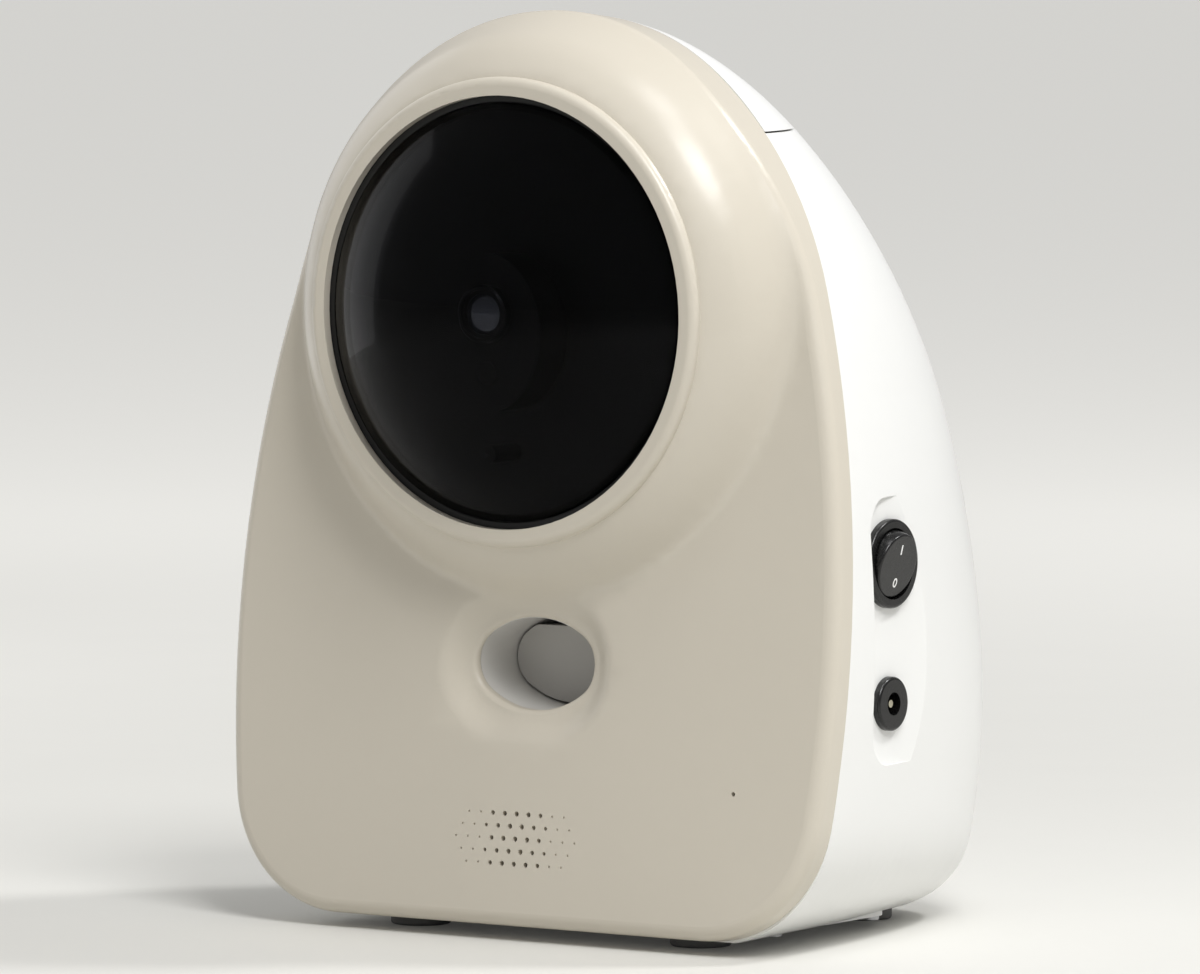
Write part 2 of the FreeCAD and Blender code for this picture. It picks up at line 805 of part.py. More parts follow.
def lid_seal():
    """Rubber ring under the liner, round the hopper mouth."""
    low = hopper_rim_height + rim_thickness + 0.4
    high = lid_height + lid_gap / 2 + 2 * fit_gap
    half_x = hopper_mouth[0] / 2 + 1.0
    half_y = hopper_mouth[1] / 2 + 1.0
    corner = hopper_mouth_corner + 1.0
    ring = rounded_block(half_x + seal_width, half_y + seal_width, corner + seal_width,
                         0, hopper_y, low, high)
    return ring.cut(rounded_block(half_x, half_y, corner, 0, hopper_y, low - 1, high + 1))


def hopper(inner):
    """Treat hopper: rim plate on the ledge, tapering bucket, front wall behind the face."""
    rim = eased(inner, hopper_rim_height).common(slab(hopper_rim_height, hopper_rim_height + rim_thickness))
    rim = rim.common(seam_side(0.1, 2 * rear_depth))
    rim = rim.cut(box((-knuckle_half, knuckle_half), (hinge_y() - 4.0, hinge_y()), (0, lid_height)))
    wall = leaned(Part.Face(arch_wire(shell_wall + 0.8)).extrude(vec(0, 1.8, 0)))
    wall.translate(vec(0, 0.1, 0))
    wall = wall.common(slab(hopper_rim_height, 2 * arch_height))

    def bucket(grow, low, high):
        neck = hopper_bottom + hopper_neck
        top = rounded_wire(hopper_mouth[0] / 2 + grow, hopper_mouth[1] / 2 + grow,
                           hopper_mouth_corner + grow, 0, hopper_y, high)
        half_x = hopper_throat[0] / 2 + grow
        half_y = hopper_throat[1] / 2 + grow
        bottom = rounded_wire(half_x, half_y, 4.0 + grow, 0, wheel_y, neck)
        cone = Part.makeLoft([top, bottom], True, True)
        return cone.fuse(rounded_block(half_x, half_y, 4.0 + grow, 0, wheel_y, low, neck))

    high = hopper_rim_height + rim_thickness
    body = rim.multiFuse([wall, bucket(hopper_wall, hopper_bottom, high)])
    return body.cut(bucket(0.0, hopper_bottom - 1, high)).removeSplitter()


def wheel_casing():
    """Drum round the treat wheel, with the hopper's collar above and the drop spout below."""
    out = rod(vec(-casing_half, wheel_y, wheel_height), vec(casing_half, wheel_y, wheel_height),
              casing_radius)
    collar_x = hopper_throat[0] / 2 + hopper_wall + fit_gap
    collar_y = hopper_throat[1] / 2 + hopper_wall + fit_gap
    collar_top = hopper_bottom + 4.0
    collar = rounded_block(collar_x + casing_wall, collar_y + casing_wall, 5.0, 0, wheel_y,
                           wheel_height, collar_top)
    spout_top = wheel_height - casing_radius + 3.0
    spout_low = mouth_height + mouth_half_height

    def spout(grow, low, high):
        wires = []
        for z in (high, low):
            share = (spout_top - z) / (spout_top - spout_low)
            y = wheel_y + (drop_y - wheel_y) * share
            wires.append(rounded_wire(drop_width / 2 + grow, drop_length / 2 + grow, 3.0, 0, y, z))
        return Part.makeLoft(wires, True, True)

    lugs = box((-frame_inside, frame_inside), (wheel_y + 18.0, wheel_y + 26.0),
               (wheel_height - 26.0, wheel_height - 20.0))
    body = out.multiFuse([collar, spout(casing_wall, spout_low - 4.0, spout_top + 2.0), lugs])
    drum = rod(vec(-casing_half + casing_wall, wheel_y, wheel_height),
               vec(casing_half - casing_wall, wheel_y, wheel_height), casing_radius - casing_wall)
    throat = rounded_block(hopper_throat[0] / 2, hopper_throat[1] / 2, 4.0, 0, wheel_y,
                           wheel_height, hopper_bottom - fit_gap)
    sleeve = rounded_block(collar_x, collar_y, 4.0, 0, wheel_y, hopper_bottom - fit_gap, collar_top + 1)
    shaft = rod(vec(-frame_inside, wheel_y, wheel_height), vec(frame_inside, wheel_y, wheel_height),
                shaft_radius + 1.0)
    barrel = oval_prism(barrel_wall + 0.1, mouth_front, barrel_end)
    cuts = [drum, throat, sleeve, shaft, spout(0.0, spout_low - 5.0, spout_top + 3.0), barrel]
    return body.cut(cuts).removeSplitter()


def treat_wheel():
    """Pocketed wheel that carries treats from the hopper to the spout."""
    half = wheel_width / 2
    wheel = rod(vec(-half, wheel_y, wheel_height), vec(half, wheel_y, wheel_height), wheel_radius)
    cuts = [rod(vec(-half, wheel_y, wheel_height), vec(half, wheel_y, wheel_height), shaft_radius)]
    for index in range(wheel_pockets):
        turn = 2 * math.pi * index / wheel_pockets
        y = wheel_y + wheel_radius * math.cos(turn)
        z = wheel_height + wheel_radius * math.sin(turn)
        cuts.append(rod(vec(-half - 1, y, z), vec(half + 1, y, z), pocket_radius))
    return wheel.cut(cuts)


def wheel_gear():
    teeth = gear(wheel_gear_teeth, 5.0, 0, wheel_gear_teeth, gear_x - 5.0, wheel_y, wheel_height, climb)
    bore = rod(vec(gear_x - 6, wheel_y, wheel_height), vec(gear_x, wheel_y, wheel_height), shaft_radius)
    return teeth.cut(bore)


def wheel_shaft():
    """Steel shaft in the frame's two bearing holes."""
    reach = frame_inside + frame_wall
    return rod(vec(-reach, wheel_y, wheel_height), vec(reach, wheel_y, wheel_height), shaft_radius)


def wheel_pinion():
    """Motor pinion on its drive shaft, a tooth gap facing the wheel gear."""
    turn = climb + math.pi + math.pi / wheel_pinion_teeth
    teeth = gear(wheel_pinion_teeth, 5.0, 0, wheel_pinion_teeth, gear_x - 5.0, pinion_y, pinion_z, turn)
    shaft = rod(vec(-frame_inside - frame_wall - shaft_reach, pinion_y, pinion_z),
                vec(gear_x, pinion_y, pinion_z), shaft_radius)
    return teeth.fuse(shaft).removeSplitter()


def gear_motor(y, z):
    """A small gear motor: gearbox drum with its face on the frame, motor can behind."""
    face = -frame_inside - frame_wall
    back = face - motor_gearbox_length
    drum = rod(vec(face, y, z), vec(back, y, z), motor_gearbox_radius)
    rim = [edge for edge in drum.Edges if edge.BoundBox.XLength < 1e-6]
    drum = drum.makeFillet(1.0, rim)
    can = rod(vec(back + 1, y, z), vec(back - motor_length, y, z), motor_radius)
    boss = rod(vec(back - motor_length, y, z), vec(back - motor_length - 2.0, y, z), 3.0)
    bore = rod(vec(face + 1, y, z), vec(face - 10.0, y, z), shaft_radius + running_gap)
    return drum.multiFuse([can, boss]).cut(bore).removeSplitter()


def launch_barrel():
    """Oval tube from the mouth backwards, with a drop hole above and a keel slot below."""
    front = mouth_front + shell_wall + fit_gap
    out = oval_prism(barrel_wall, front, barrel_end)
    lugs = [box((-frame_inside, frame_inside), y, (mouth_height - 5.0, mouth_height + 5.0))
            for y in ((30.0, 38.0), (barrel_end - 12.0, barrel_end - 4.0))]
    body = out.multiFuse(lugs)
    slot = box((-keel_thickness / 2 - 0.5, keel_thickness / 2 + 0.5), (plunger_face - 1.0, barrel_end + 1),
               (mouth_height - 2 * mouth_half_height, mouth_height))
    drop = rounded_block(drop_width / 2 + fit_gap, drop_length / 2 + fit_gap, 3.0, 0, drop_y - 1.0,
                         mouth_height, mouth_height + 2 * mouth_half_height)
    return body.cut([oval_prism(0.0, front - 1, barrel_end + 1), slot, drop]).removeSplitter()


def barrel_cap():
    """End cap that closes the barrel and backs the spring."""
    cap = oval_prism(barrel_wall, barrel_end, barrel_end + 2.0)
    plug = oval_prism(-fit_gap, barrel_end - 3.0, barrel_end)
    centre = vec(0, barrel_end - 6.0, mouth_height)
    seat = rod(centre, vec(0, barrel_end, mouth_height), spring_radius - 1.5)
    slot = box((-keel_thickness, keel_thickness), (barrel_end - 4.0, barrel_end + 3.0),
               (mouth_height - 2 * mouth_half_height, mouth_height - mouth_half_height + 4.0))
    return cap.multiFuse([plug, seat]).cut(slot).removeSplitter()


def launch_plunger():
    """Paddle in the barrel, with a keel through the slot and a rack under the barrel."""
    face = oval_prism(-plunger_clearance, plunger_face, plunger_face + plunger_thickness)
    top_cut = box((-50, 50), (0, 100), (mouth_height + mouth_half_height - 3.4, 2 * mouth_height))
    face = face.cut(top_cut)
    corners = [edge for edge in face.Edges
               if edge.BoundBox.YLength > plunger_thickness - 0.1 and edge.BoundBox.ZMax > mouth_height + 5.0]
    face = face.makeFillet(3.0, corners)
    floor = mouth_height - mouth_half_height
    keel = box((-keel_thickness / 2, keel_thickness / 2), (plunger_face + 0.5, plunger_face + 26.0),
               (floor - barrel_wall - 0.5 - 1.0, floor + plunger_clearance + 2.0))
    boss = rod(vec(0, plunger_face + plunger_thickness, mouth_height),
               vec(0, plunger_face + plunger_thickness + 5.0, mouth_height), spring_radius - 1.5)
    return fused([face, keel, boss, rack()])


def rack():
    """Toothed bar along Y, teeth down, with a gap over the launch gear."""
    top = rack_pitch_z + addendum * gear_module + rack_height
    root = rack_pitch_z + dedendum * gear_module
    start = plunger_face - 1.0
    bar = box((-gear_width / 2 + 1, gear_width / 2 - 1), (start, start + rack_length), (root, top))
    pitch = math.pi * gear_module
    half = pitch / 4 - backlash / 2
    lean_out = math.tan(math.radians(pressure_angle))
    tip = rack_pitch_z - addendum * gear_module
    teeth = []
    for index in range(rack_teeth):
        middle = launch_gear_y + pitch * (1.5 - index)
        if middle + half + 0.5 > start + rack_length:
            continue
        profile = [(half + dedendum * gear_module * lean_out, root),
                   (half - addendum * gear_module * lean_out, tip)]
        corners = [vec(0, middle - dy, z) for dy, z in profile]
        corners += [vec(0, middle + dy, z) for dy, z in reversed(profile)]
        tooth = Part.Face(Part.makePolygon(corners + corners[:1])).extrude(vec(gear_width - 2, 0, 0))
        tooth.translate(vec(1 - gear_width / 2, 0, 0))
        teeth.append(tooth)
    return bar.multiFuse(teeth).removeSplitter()


def launch_gear():
    """Sector gear and its shaft: toothed over the stroke, bare where it lets go."""
    first_up = math.pi / 2
    teeth = gear(launch_gear_teeth, gear_width - 2.0, 0, launch_gear_toothed,
                 1 - gear_width / 2, launch_gear_y, launch_gear_z, 0.0)
    step = 360.0 / launch_gear_teeth
    teeth.rotate(vec(0, launch_gear_y, launch_gear_z), vec(1, 0, 0), math.degrees(first_up))
    shaft = rod(vec(-frame_inside - frame_wall - shaft_reach, launch_gear_y, launch_gear_z),
                vec(frame_inside + frame_wall, launch_gear_y, launch_gear_z), shaft_radius)
    return teeth.fuse(shaft).removeSplitter()


def launch_spring():
    """Compression coil behind the paddle, one unbroken wire of quarter-turn arcs."""
    start = plunger_face + plunger_thickness + spring_wire + 0.3
    end = barrel_end - 3.0 - spring_wire - 0.1
    quarters = 4 * spring_turns
    advance = (end - start) / quarters
    edges = []
    step = math.pi / 2
    for index in range(quarters):
        at = [place_on_coil(start, advance, index + share) for share in (0.0, 0.5, 1.0)]
        edges.append(Part.Arc(*at).toShape())
    path = Part.Wire(edges)
    tangent = edges[0].tangentAt(edges[0].FirstParameter)
    section = Part.Wire(Part.Circle(place_on_coil(start, advance, 0.0), tangent, spring_wire).toShape())
    coil = Part.BRepOffsetAPI.MakePipeShell(path)
    coil.add(section)
    coil.build()
    coil.makeSolid()
    least = coil_gap(start, advance, quarters)
    print("launch spring least gap to itself %.2f mm" % least)
    return coil.shape()


def place_on_coil(start, advance, quarter):
    turn = quarter * math.pi / 2
    return vec(spring_radius * math.cos(turn), start + advance * quarter,
               mouth_height + spring_radius * math.sin(turn))


def coil_gap(start, advance, quarters):
    """Least clear distance between the wire and itself a turn away, measured on points."""
    points = [place_on_coil(start, advance, index / 4) for index in range(4 * quarters + 1)]
    least = rear_depth
    for index, point in enumerate(points):
        for other in points[index + 8:]:
            least = min(least, point.distanceToPoint(other) - 2 * spring_wire)
    return least


def mechanism_frame():
    """Two side plates with bearing holes, feet and tie bars, that carry the mechanism."""
    plates = []
    for side in (-1, 1):
        inner_x = side * frame_inside
        outer_x = side * (frame_inside + frame_wall)
        low_x, high_x = min(inner_x, outer_x), max(inner_x, outer_x)
        outline = [(frame_low_front, floor_top), (frame_back, floor_top), (frame_back, frame_top),
                   (frame_high_front, frame_top), (frame_high_front, frame_step_high),
                   (frame_low_front, frame_step_low)]
        corners = [vec(low_x, y, z) for y, z in outline]
        plate = Part.Face(Part.makePolygon(corners + corners[:1])).extrude(vec(frame_wall, 0, 0))
        for y, z in frame_windows:
            wide, tall = frame_window_half
            window = side_plate_block((y - wide, y + wide), (z - tall, z + tall), frame_window_corner,
                                      (low_x - 1, high_x + 1))
            plate = plate.cut(window)
        foot_ends = (outer_x, outer_x + side * frame_foot[0])
        foot = box((min(foot_ends), max(foot_ends)), (frame_low_front, frame_back),
                   (floor_top, floor_top + frame_foot[1]))
        plates.append(plate.fuse(foot))
    ties = [rod(vec(-frame_inside, y, z), vec(frame_inside, y, z), tie_radius)
            for y, z in ((frame_low_front + 6.0, low_tie_height), (frame_back - 5.0, low_tie_height),
                         (frame_back - 5.0, high_tie_height))]
    frame = plates[0].multiFuse([plates[1]] + ties)
    reach = frame_inside + frame_wall + 1
    bearing = shaft_radius + running_gap
    cuts = [rod(vec(-reach, wheel_y, wheel_height), vec(reach, wheel_y, wheel_height), bearing),
            rod(vec(-reach, launch_gear_y, launch_gear_z), vec(reach, launch_gear_y, launch_gear_z), bearing),
            rod(vec(-reach, pinion_y, pinion_z), vec(0, pinion_y, pinion_z), bearing)]
    cuts += [rod(vec(x, y, floor_top - 1), vec(x, y, floor_top + 4), screw_radius)
             for x, y in frame_screw_places()]
    cuts += [rod(vec(frame_inside - 1, y, z), vec(reach, y, z), screw_radius)
             for y, z in board_screw_places()]
    return frame.cut(cuts).removeSplitter()


def screw(tip, head, head_out):
    """A pan-head screw: shank from the tip to the head's seat, head beyond it."""
    along = head.sub(tip)
    along.normalize()
    cap = Part.makeCylinder(screw_head_radius, head_out, head, along)
    return rod(tip, head, screw_radius - 0.05).fuse(cap).removeSplitter()


def base_screws():
    low = body_bottom
    return Part.makeCompound([screw(vec(x, y, floor_top - 1.2), vec(x, y, low), screw_head)
                              for x, y in base_screw_places()])


def frame_screws():
    top = floor_top + frame_foot[1]
    return Part.makeCompound([screw(vec(x, y, floor_top - 2.8), vec(x, y, top), screw_head)
                              for x, y in frame_screw_places()])


def shell_screws():
    tip = -(face_depth - shell_wall) + 1.2
    return Part.makeCompound([leaned(screw(vec(x, tip, z), vec(x, ear_thickness, z), screw_head))
                              for x, z in shell_posts()])


def base_plate():
    """Cover plate set into the underside."""
    middle = (plate_front + plate_back) / 2
    half = (plate_back - plate_front) / 2
    plate = rounded_block(plate_half_width - fit_gap, half - fit_gap, plate_corner - fit_gap, 0, middle,
                          body_bottom, body_bottom + plate_thickness)
    holes = [rod(vec(x, y, 0), vec(x, y, floor_top), screw_radius) for x, y in base_screw_places()]
    return plate.cut(holes)


def foot(x, y):
    """A round soft foot with a peg in the floor of the housing."""
    pad = rod(vec(x, y, 0), vec(x, y, body_bottom), foot_radius)
    rim = [edge for edge in pad.Edges if edge.BoundBox.ZMax < 1e-6]
    pad = pad.makeFillet(0.8, rim)
    peg = rod(vec(x, y, 0.5), vec(x, y, body_bottom + 2.9), foot_peg_radius - 0.05)
    return pad.fuse(peg).removeSplitter()


def window_turned(profile):
    """A body turned about the window's axis from (radius, y) points and arcs."""
    edges = []
    for step in profile:
        points = [vec(r, y, window_height) for r, y in step]
        edges.append(Part.makeLine(*points) if len(points) == 2 else Part.Arc(*points).toShape())
    face = Part.Face(Part.Wire(edges))
    return face.revolve(vec(0, 0, window_height), vec(0, 1, 0), 360)


def ball_arc(centre_y, radius, start_r):
    """Three points of a sphere's section, from a radius to the axis."""
    start_a = math.asin(start_r / radius)
    return [(radius * math.sin(a), centre_y - radius * math.cos(a)) for a in (start_a, start_a / 2, 0.0)]


def dome_window():
    """Smoked domed window with a flange held in the bezel's bore."""
    radius = (dome_neck_radius ** 2 + dome_rise ** 2) / (2 * dome_rise)
    centre = dome_rim_y - dome_rise + radius
    out = ball_arc(centre, radius, dome_neck_radius)
    inner_neck = dome_neck_radius - dome_wall
    within = ball_arc(centre, radius - dome_wall, inner_neck)[::-1]
    flange_back = dome_flange_front + dome_flange
    edge = bore_radius - fit_gap
    return window_turned([
        out, [out[-1], within[0]], within, [within[-1], (inner_neck, flange_back)],
        [(inner_neck, flange_back), (edge, flange_back)], [(edge, flange_back), (edge, dome_flange_front)],
        [(edge, dome_flange_front), (dome_neck_radius, dome_flange_front)],
        [(dome_neck_radius, dome_flange_front), out[0]],
    ])


def window_gasket():
    """Black ring seen between the bezel and the dome."""
    axis = window_height
    back = dome_flange_front
    return tube(vec(0, gasket_front, axis), vec(0, back, axis), bore_radius - fit_gap, dome_neck_radius + 0.1)


def carrier_arm(x, z, grow, back):
    """The arm from the carrier's skirt to one screw ear."""
    arm = box((basket_radius - 1.0, basket_ear_radius), (basket_back - basket_wall - grow, back),
              (-4.0 - grow, 4.0 + grow))
    arm.rotate(vec(0, 0, 0), vec(0, 1, 0), -math.degrees(math.atan2(z - window_height, x)))
    arm.translate(vec(0, 0, window_height))
    return arm


def camera_basket():
    """Black carrier: disc behind the dome, oval tower, skirt and screw ears."""
    axis = window_height
    disc_back = basket_front + basket_wall
    ear_front = basket_back - basket_wall
    skirt = rod(vec(0, basket_front, axis), vec(0, basket_back, axis), basket_radius)
    flange = rod(vec(0, ear_front, axis), vec(0, basket_back, axis), basket_radius + basket_flange)
    ears = [rod(vec(x, ear_front, z), vec(x, basket_back, z), carrier_ear_radius) for x, z in ear_places()]
    arms = [carrier_arm(x, z, 0.0, basket_back) for x, z in ear_places()]
    tower_z = axis - oval_drop
    tower = oval_tower(0.0, oval_front, disc_back, tower_z)
    stalk = rod(vec(0, status_light_front + 2.0, status_light_height),
                vec(0, disc_back, status_light_height), 3 * status_light_radius)
    body = skirt.multiFuse([flange, tower, stalk] + ears + arms)
    hollow = rod(vec(0, disc_back, axis), vec(0, basket_back + 1, axis), basket_radius - basket_wall)
    tower_hollow = oval_tower(-basket_wall, oval_front + basket_wall, disc_back + 1, tower_z)
    front = 2 * oval_front
    cuts = [hollow, tower_hollow]
    for z, radius in ((axis, lens_radius), (light_sensor_height, light_sensor_radius),
                      (status_light_height, status_light_radius)):
        cuts.append(rod(vec(0, front, z), vec(0, basket_back, z), radius + running_gap))
    cuts += [rod(vec(x, 0, z), vec(x, basket_back + 1, z), screw_radius) for x, z in ear_places()]
    return body.cut(cuts).removeSplitter()


def ear_places():
    reach = basket_ear_radius * math.sqrt(0.5)
    return [(sx * reach, window_height + sz * reach) for sx in (-1, 1) for sz in (-1, 1)]


def oval_tower(grow, front, back, z):
    wire = oval_wire(oval_half_height + grow, oval_half_width + grow, 14.0 + grow, 0, 0)
    face = Part.Face(wire)
    face.rotate(vec(0, 0, 0), vec(0, 1, 0), 90)
    face.translate(vec(0, front, z))
    return face.extrude(vec(0, back - front, 0))


def lens_barrel():
    """Turned lens barrel, stepped at the front and threaded into its holder."""
    axis = window_height
    barrel = rod(vec(0, lens_front, axis), vec(0, -3.5, axis), lens_radius)
    rim = [edge for edge in barrel.Edges if edge.BoundBox.YMax < lens_front + 1e-6]
    barrel = barrel.makeChamfer(0.6, rim)
    step = rod(vec(0, lens_front - 1, axis), vec(0, lens_front + 1.2, axis), glass_radius + 1.0)
    seat = rod(vec(0, lens_front - 1, axis), vec(0, lens_front + 3.2, axis), glass_radius + 0.02)
    bore = rod(vec(0, lens_front, axis), vec(0, 0, axis), glass_radius - 1.5)
    return barrel.cut([step, seat, bore])


def lens_glass():
    """Front element, a meniscus seated in the barrel."""
    axis = window_height
    back = lens_front + 3.2
    front = lens_front + 1.4
    disc = rod(vec(0, front - 3, axis), vec(0, back, axis), glass_radius)
    ball = Part.makeSphere(9.0, vec(0, front + 7.6, axis))
    return disc.common(ball)


def image_sensor_board():
    """Camera board with the lens holder in front, on four posts against the carrier's disc."""
    axis = window_height
    wide, tall = camera_board_half
    face = -camera_board_thickness
    half = lens_holder_half
    board = box((-wide, wide), (face, 0.0), (axis - tall, axis + tall))
    holder = box((-half, half), (lens_holder_front, face), (axis - half, axis + half))
    socket = rod(vec(0, lens_holder_front - 1, axis), vec(0, face - 2.0, axis), lens_radius + running_gap)
    window = rod(vec(0, face - 2.6, axis), vec(0, face - 0.8, axis), glass_radius)
    posts = [rod(vec(x, basket_front + basket_wall, z), vec(x, face, z), camera_post_radius)
             for x in (-camera_post_x, camera_post_x)
             for z in (axis - camera_post_z, axis + camera_post_z)]
    return board.multiFuse([holder] + posts).cut([socket, window]).removeSplitter()


def light_sensor():
    z = light_sensor_height
    body = rod(vec(0, oval_front - 0.6, z), vec(0, oval_front + 6.0, z), light_sensor_radius)
    rim = [edge for edge in body.Edges if edge.BoundBox.YMax < oval_front - 0.6 + 1e-6]
    return body.makeFillet(0.5, rim)


def status_light():
    z = status_light_height
    return rod(vec(0, status_light_front, z), vec(0, basket_front + 5.0, z), status_light_radius)


def carrier_posts():
    """Posts of the front shell that the carrier's ears are screwed to."""
    solids = []
    for x, z in ear_places():
        start = (z * math.sin(lean) - (face_depth - shell_wall / 2)) / math.cos(lean)
        solids.append(rod(vec(x, start, z), vec(x, basket_back - 2.0, z), 3.6))
    return solids


def carrier_screws():
    return Part.makeCompound([screw(vec(x, basket_back - 5.5, z), vec(x, basket_back, z), 1.2)
                              for x, z in ear_places()])


def speaker_axis(depth):
    up = speaker_height / math.cos(lean) - face_depth * math.tan(lean)
    return vec(0, depth, up)


def speaker_parts():
    """Basket, cone and magnet of the small loudspeaker behind the grille."""
    front = -(face_depth - shell_wall) + 0.2
    basket = rod(speaker_axis(front), speaker_axis(front + 4.0), speaker_radius)
    neck = Part.makeCone(speaker_radius - 1.0, 11.0, 4.0, speaker_axis(front + 4.0), vec(0, 1, 0))
    bowl = Part.makeCone(speaker_radius - 2.0, 5.0, 6.5, speaker_axis(front), vec(0, 1, 0))
    hole = rod(speaker_axis(front), speaker_axis(front + 12.0), 5.0)
    basket = basket.fuse(neck).cut([bowl, hole]).removeSplitter()
    cone_out = Part.makeCone(speaker_radius - 2.2, 5.0, 6.3, speaker_axis(front + 0.1), vec(0, 1, 0))
    cone_in = Part.makeCone(speaker_radius - 2.8, 4.4, 6.3, speaker_axis(front), vec(0, 1, 0))
    cap = rod(speaker_axis(front + 4.6), speaker_axis(front + 6.4), 4.8)
    cone = cone_out.cut(cone_in).fuse(cap).removeSplitter()
    magnet = rod(speaker_axis(front + 8.0), speaker_axis(front + speaker_depth + 2.0), 10.0)
    return {"speaker_basket": leaned(basket), "speaker_cone": leaned(cone), "speaker_magnet": leaned(magnet)}


def microphone():
    up = microphone_height / math.cos(lean) - face_depth * math.tan(lean)
    front = -(face_depth - shell_wall) + 0.2
    capsule = rod(vec(microphone_x, front, up), vec(microphone_x, front + 4.0, up), 3.0)
    return leaned(capsule)


def board_screw_places():
    return [(y, z) for y in (board_y[0] + 4.0, board_y[1] - 4.0)
            for z in (board_z[0] + 2.0, board_z[1] - 4.0)]


def main_board():
    """Control board on the right frame plate."""
    start = frame_inside + frame_wall + board_gap
    board = box((start, start + board_thickness), board_y, board_z)
    holes = [rod(vec(start - 1, y, z), vec(start + 4, y, z), screw_radius) for y, z in board_screw_places()]
    return board.cut(holes)


def board_spacers():
    start = frame_inside + frame_wall
    return Part.makeCompound([tube(vec(start, y, z), vec(start + board_gap, y, z), 2.6, screw_radius)
                              for y, z in board_screw_places()])


def board_screws():
    start = frame_inside + frame_wall
    seat = start + board_gap + board_thickness
    return Part.makeCompound([screw(vec(start - frame_wall + 0.2, y, z), vec(seat, y, z), screw_head)
                              for y, z in board_screw_places()])


def board_parts():
    """Radio module, processor shield, connectors and capacitor on the control board."""
    face = frame_inside + frame_wall + board_gap + board_thickness
    radio = box((face, face + radio_thickness), radio_y, radio_z)
    shield = side_plate_block(shield_y, shield_z, shield_corner, (face, face + shield_thickness))
    deep, wide, tall = socket_size
    sockets = [box((face, face + deep), (y, y + wide), (socket_low, socket_low + tall)) for y in socket_y]
    capacitor = rod(vec(face, capacitor_y, capacitor_z),
                    vec(face + capacitor_length, capacitor_y, capacitor_z),
                    capacitor_radius)
    return {"radio_module": radio, "processor_shield": shield,
            "board_sockets": Part.makeCompound(sockets), "board_capacitor": capacitor}


def switch_body():
    """Round rocker switch housing: flange on the panel, barrel through it, well and pivots."""
    flange = rod(switch_centre(panel_x), switch_centre(panel_x + switch_flange), switch_flange_radius)
    rim = [edge for edge in flange.Edges if edge.BoundBox.XMin > panel_x + switch_flange - 1e-6]
    flange = flange.makeFillet(0.7, rim)
    barrel = rod(switch_centre(panel_x - switch_body_depth), switch_centre(panel_x + 0.1), switch_body_radius)
    well = Part.makeSphere(rocker_radius + rocker_well_gap, switch_centre(rocker_pivot_x))
    mouth = rod(switch_centre(rocker_pivot_x), switch_centre(panel_x + 9.0), rocker_radius + rocker_well_gap)
    pins = rod(vec(rocker_pivot_x, inlet_y - 10.1, switch_height),
               vec(rocker_pivot_x, inlet_y + 10.1, switch_height), rocker_pin_radius + running_gap)
    return flange.fuse(barrel).cut([well, mouth, pins]).removeSplitter()


def rocker():
    """Rocker button: a ball cut flat on its face, resting tilted with the 0 end pressed in."""
    centre = switch_centre(rocker_pivot_x)
    ball = Part.makeSphere(rocker_radius, centre)
    keep = box((rocker_pivot_x - 5.0, rocker_pivot_x + rocker_face), (inlet_y - 20, inlet_y + 20),
               (switch_height - 20, switch_height + 20))
    body = ball.common(keep)
    rim = [edge for edge in body.Edges if edge.BoundBox.XMin > rocker_pivot_x + rocker_face - 1e-6]
    body = body.makeFillet(0.6, rim)
    pins = rod(vec(rocker_pivot_x, inlet_y - 9.9, switch_height),
               vec(rocker_pivot_x, inlet_y + 9.9, switch_height), rocker_pin_radius)
    body = body.fuse(pins).removeSplitter()
    body.rotate(centre, vec(0, 1, 0), rocker_tilt)
    return body


def switch_terminals():
    back = panel_x - switch_body_depth
    return Part.makeCompound([box((back - 9.0, back), (inlet_y - 3.15, inlet_y + 3.15), (z - 0.4, z + 0.4))
                              for z in (switch_height - 6.0, switch_height + 6.0)])


def jack_parts():
    """Round power inlet: threaded body through the panel, flanged nut, centre pin."""
    back = panel_x - jack_depth
    body = rod(jack_centre(back), jack_centre(panel_x + 0.1), jack_body_radius)
    flange = rod(jack_centre(panel_x), jack_centre(panel_x + jack_flange), jack_flange_radius)
    rim = [edge for edge in flange.Edges if edge.BoundBox.XMin > panel_x + jack_flange - 1e-6]
    flange = flange.makeFillet(0.8, rim)
    mouth = panel_x + jack_flange
    bore = rod(jack_centre(mouth - jack_bore_depth), jack_centre(mouth + 1), jack_bore_radius)
    body = body.fuse(flange).cut(bore).removeSplitter()
    pin = rod(jack_centre(mouth - jack_bore_depth), jack_centre(mouth - 1.0), jack_pin_radius)
    nut_x = (panel_x - panel_wall - 2.5, panel_x - panel_wall)
    nut = tube(jack_centre(nut_x[0]), jack_centre(nut_x[1]), jack_body_radius + 2.0, jack_body_radius)
    return {"jack_body": body, "jack_pin": pin, "jack_nut": nut}


def hinge_pin():
    return hinge_line(-knuckle_reach - 0.5, knuckle_reach + 0.5, pin_radius)


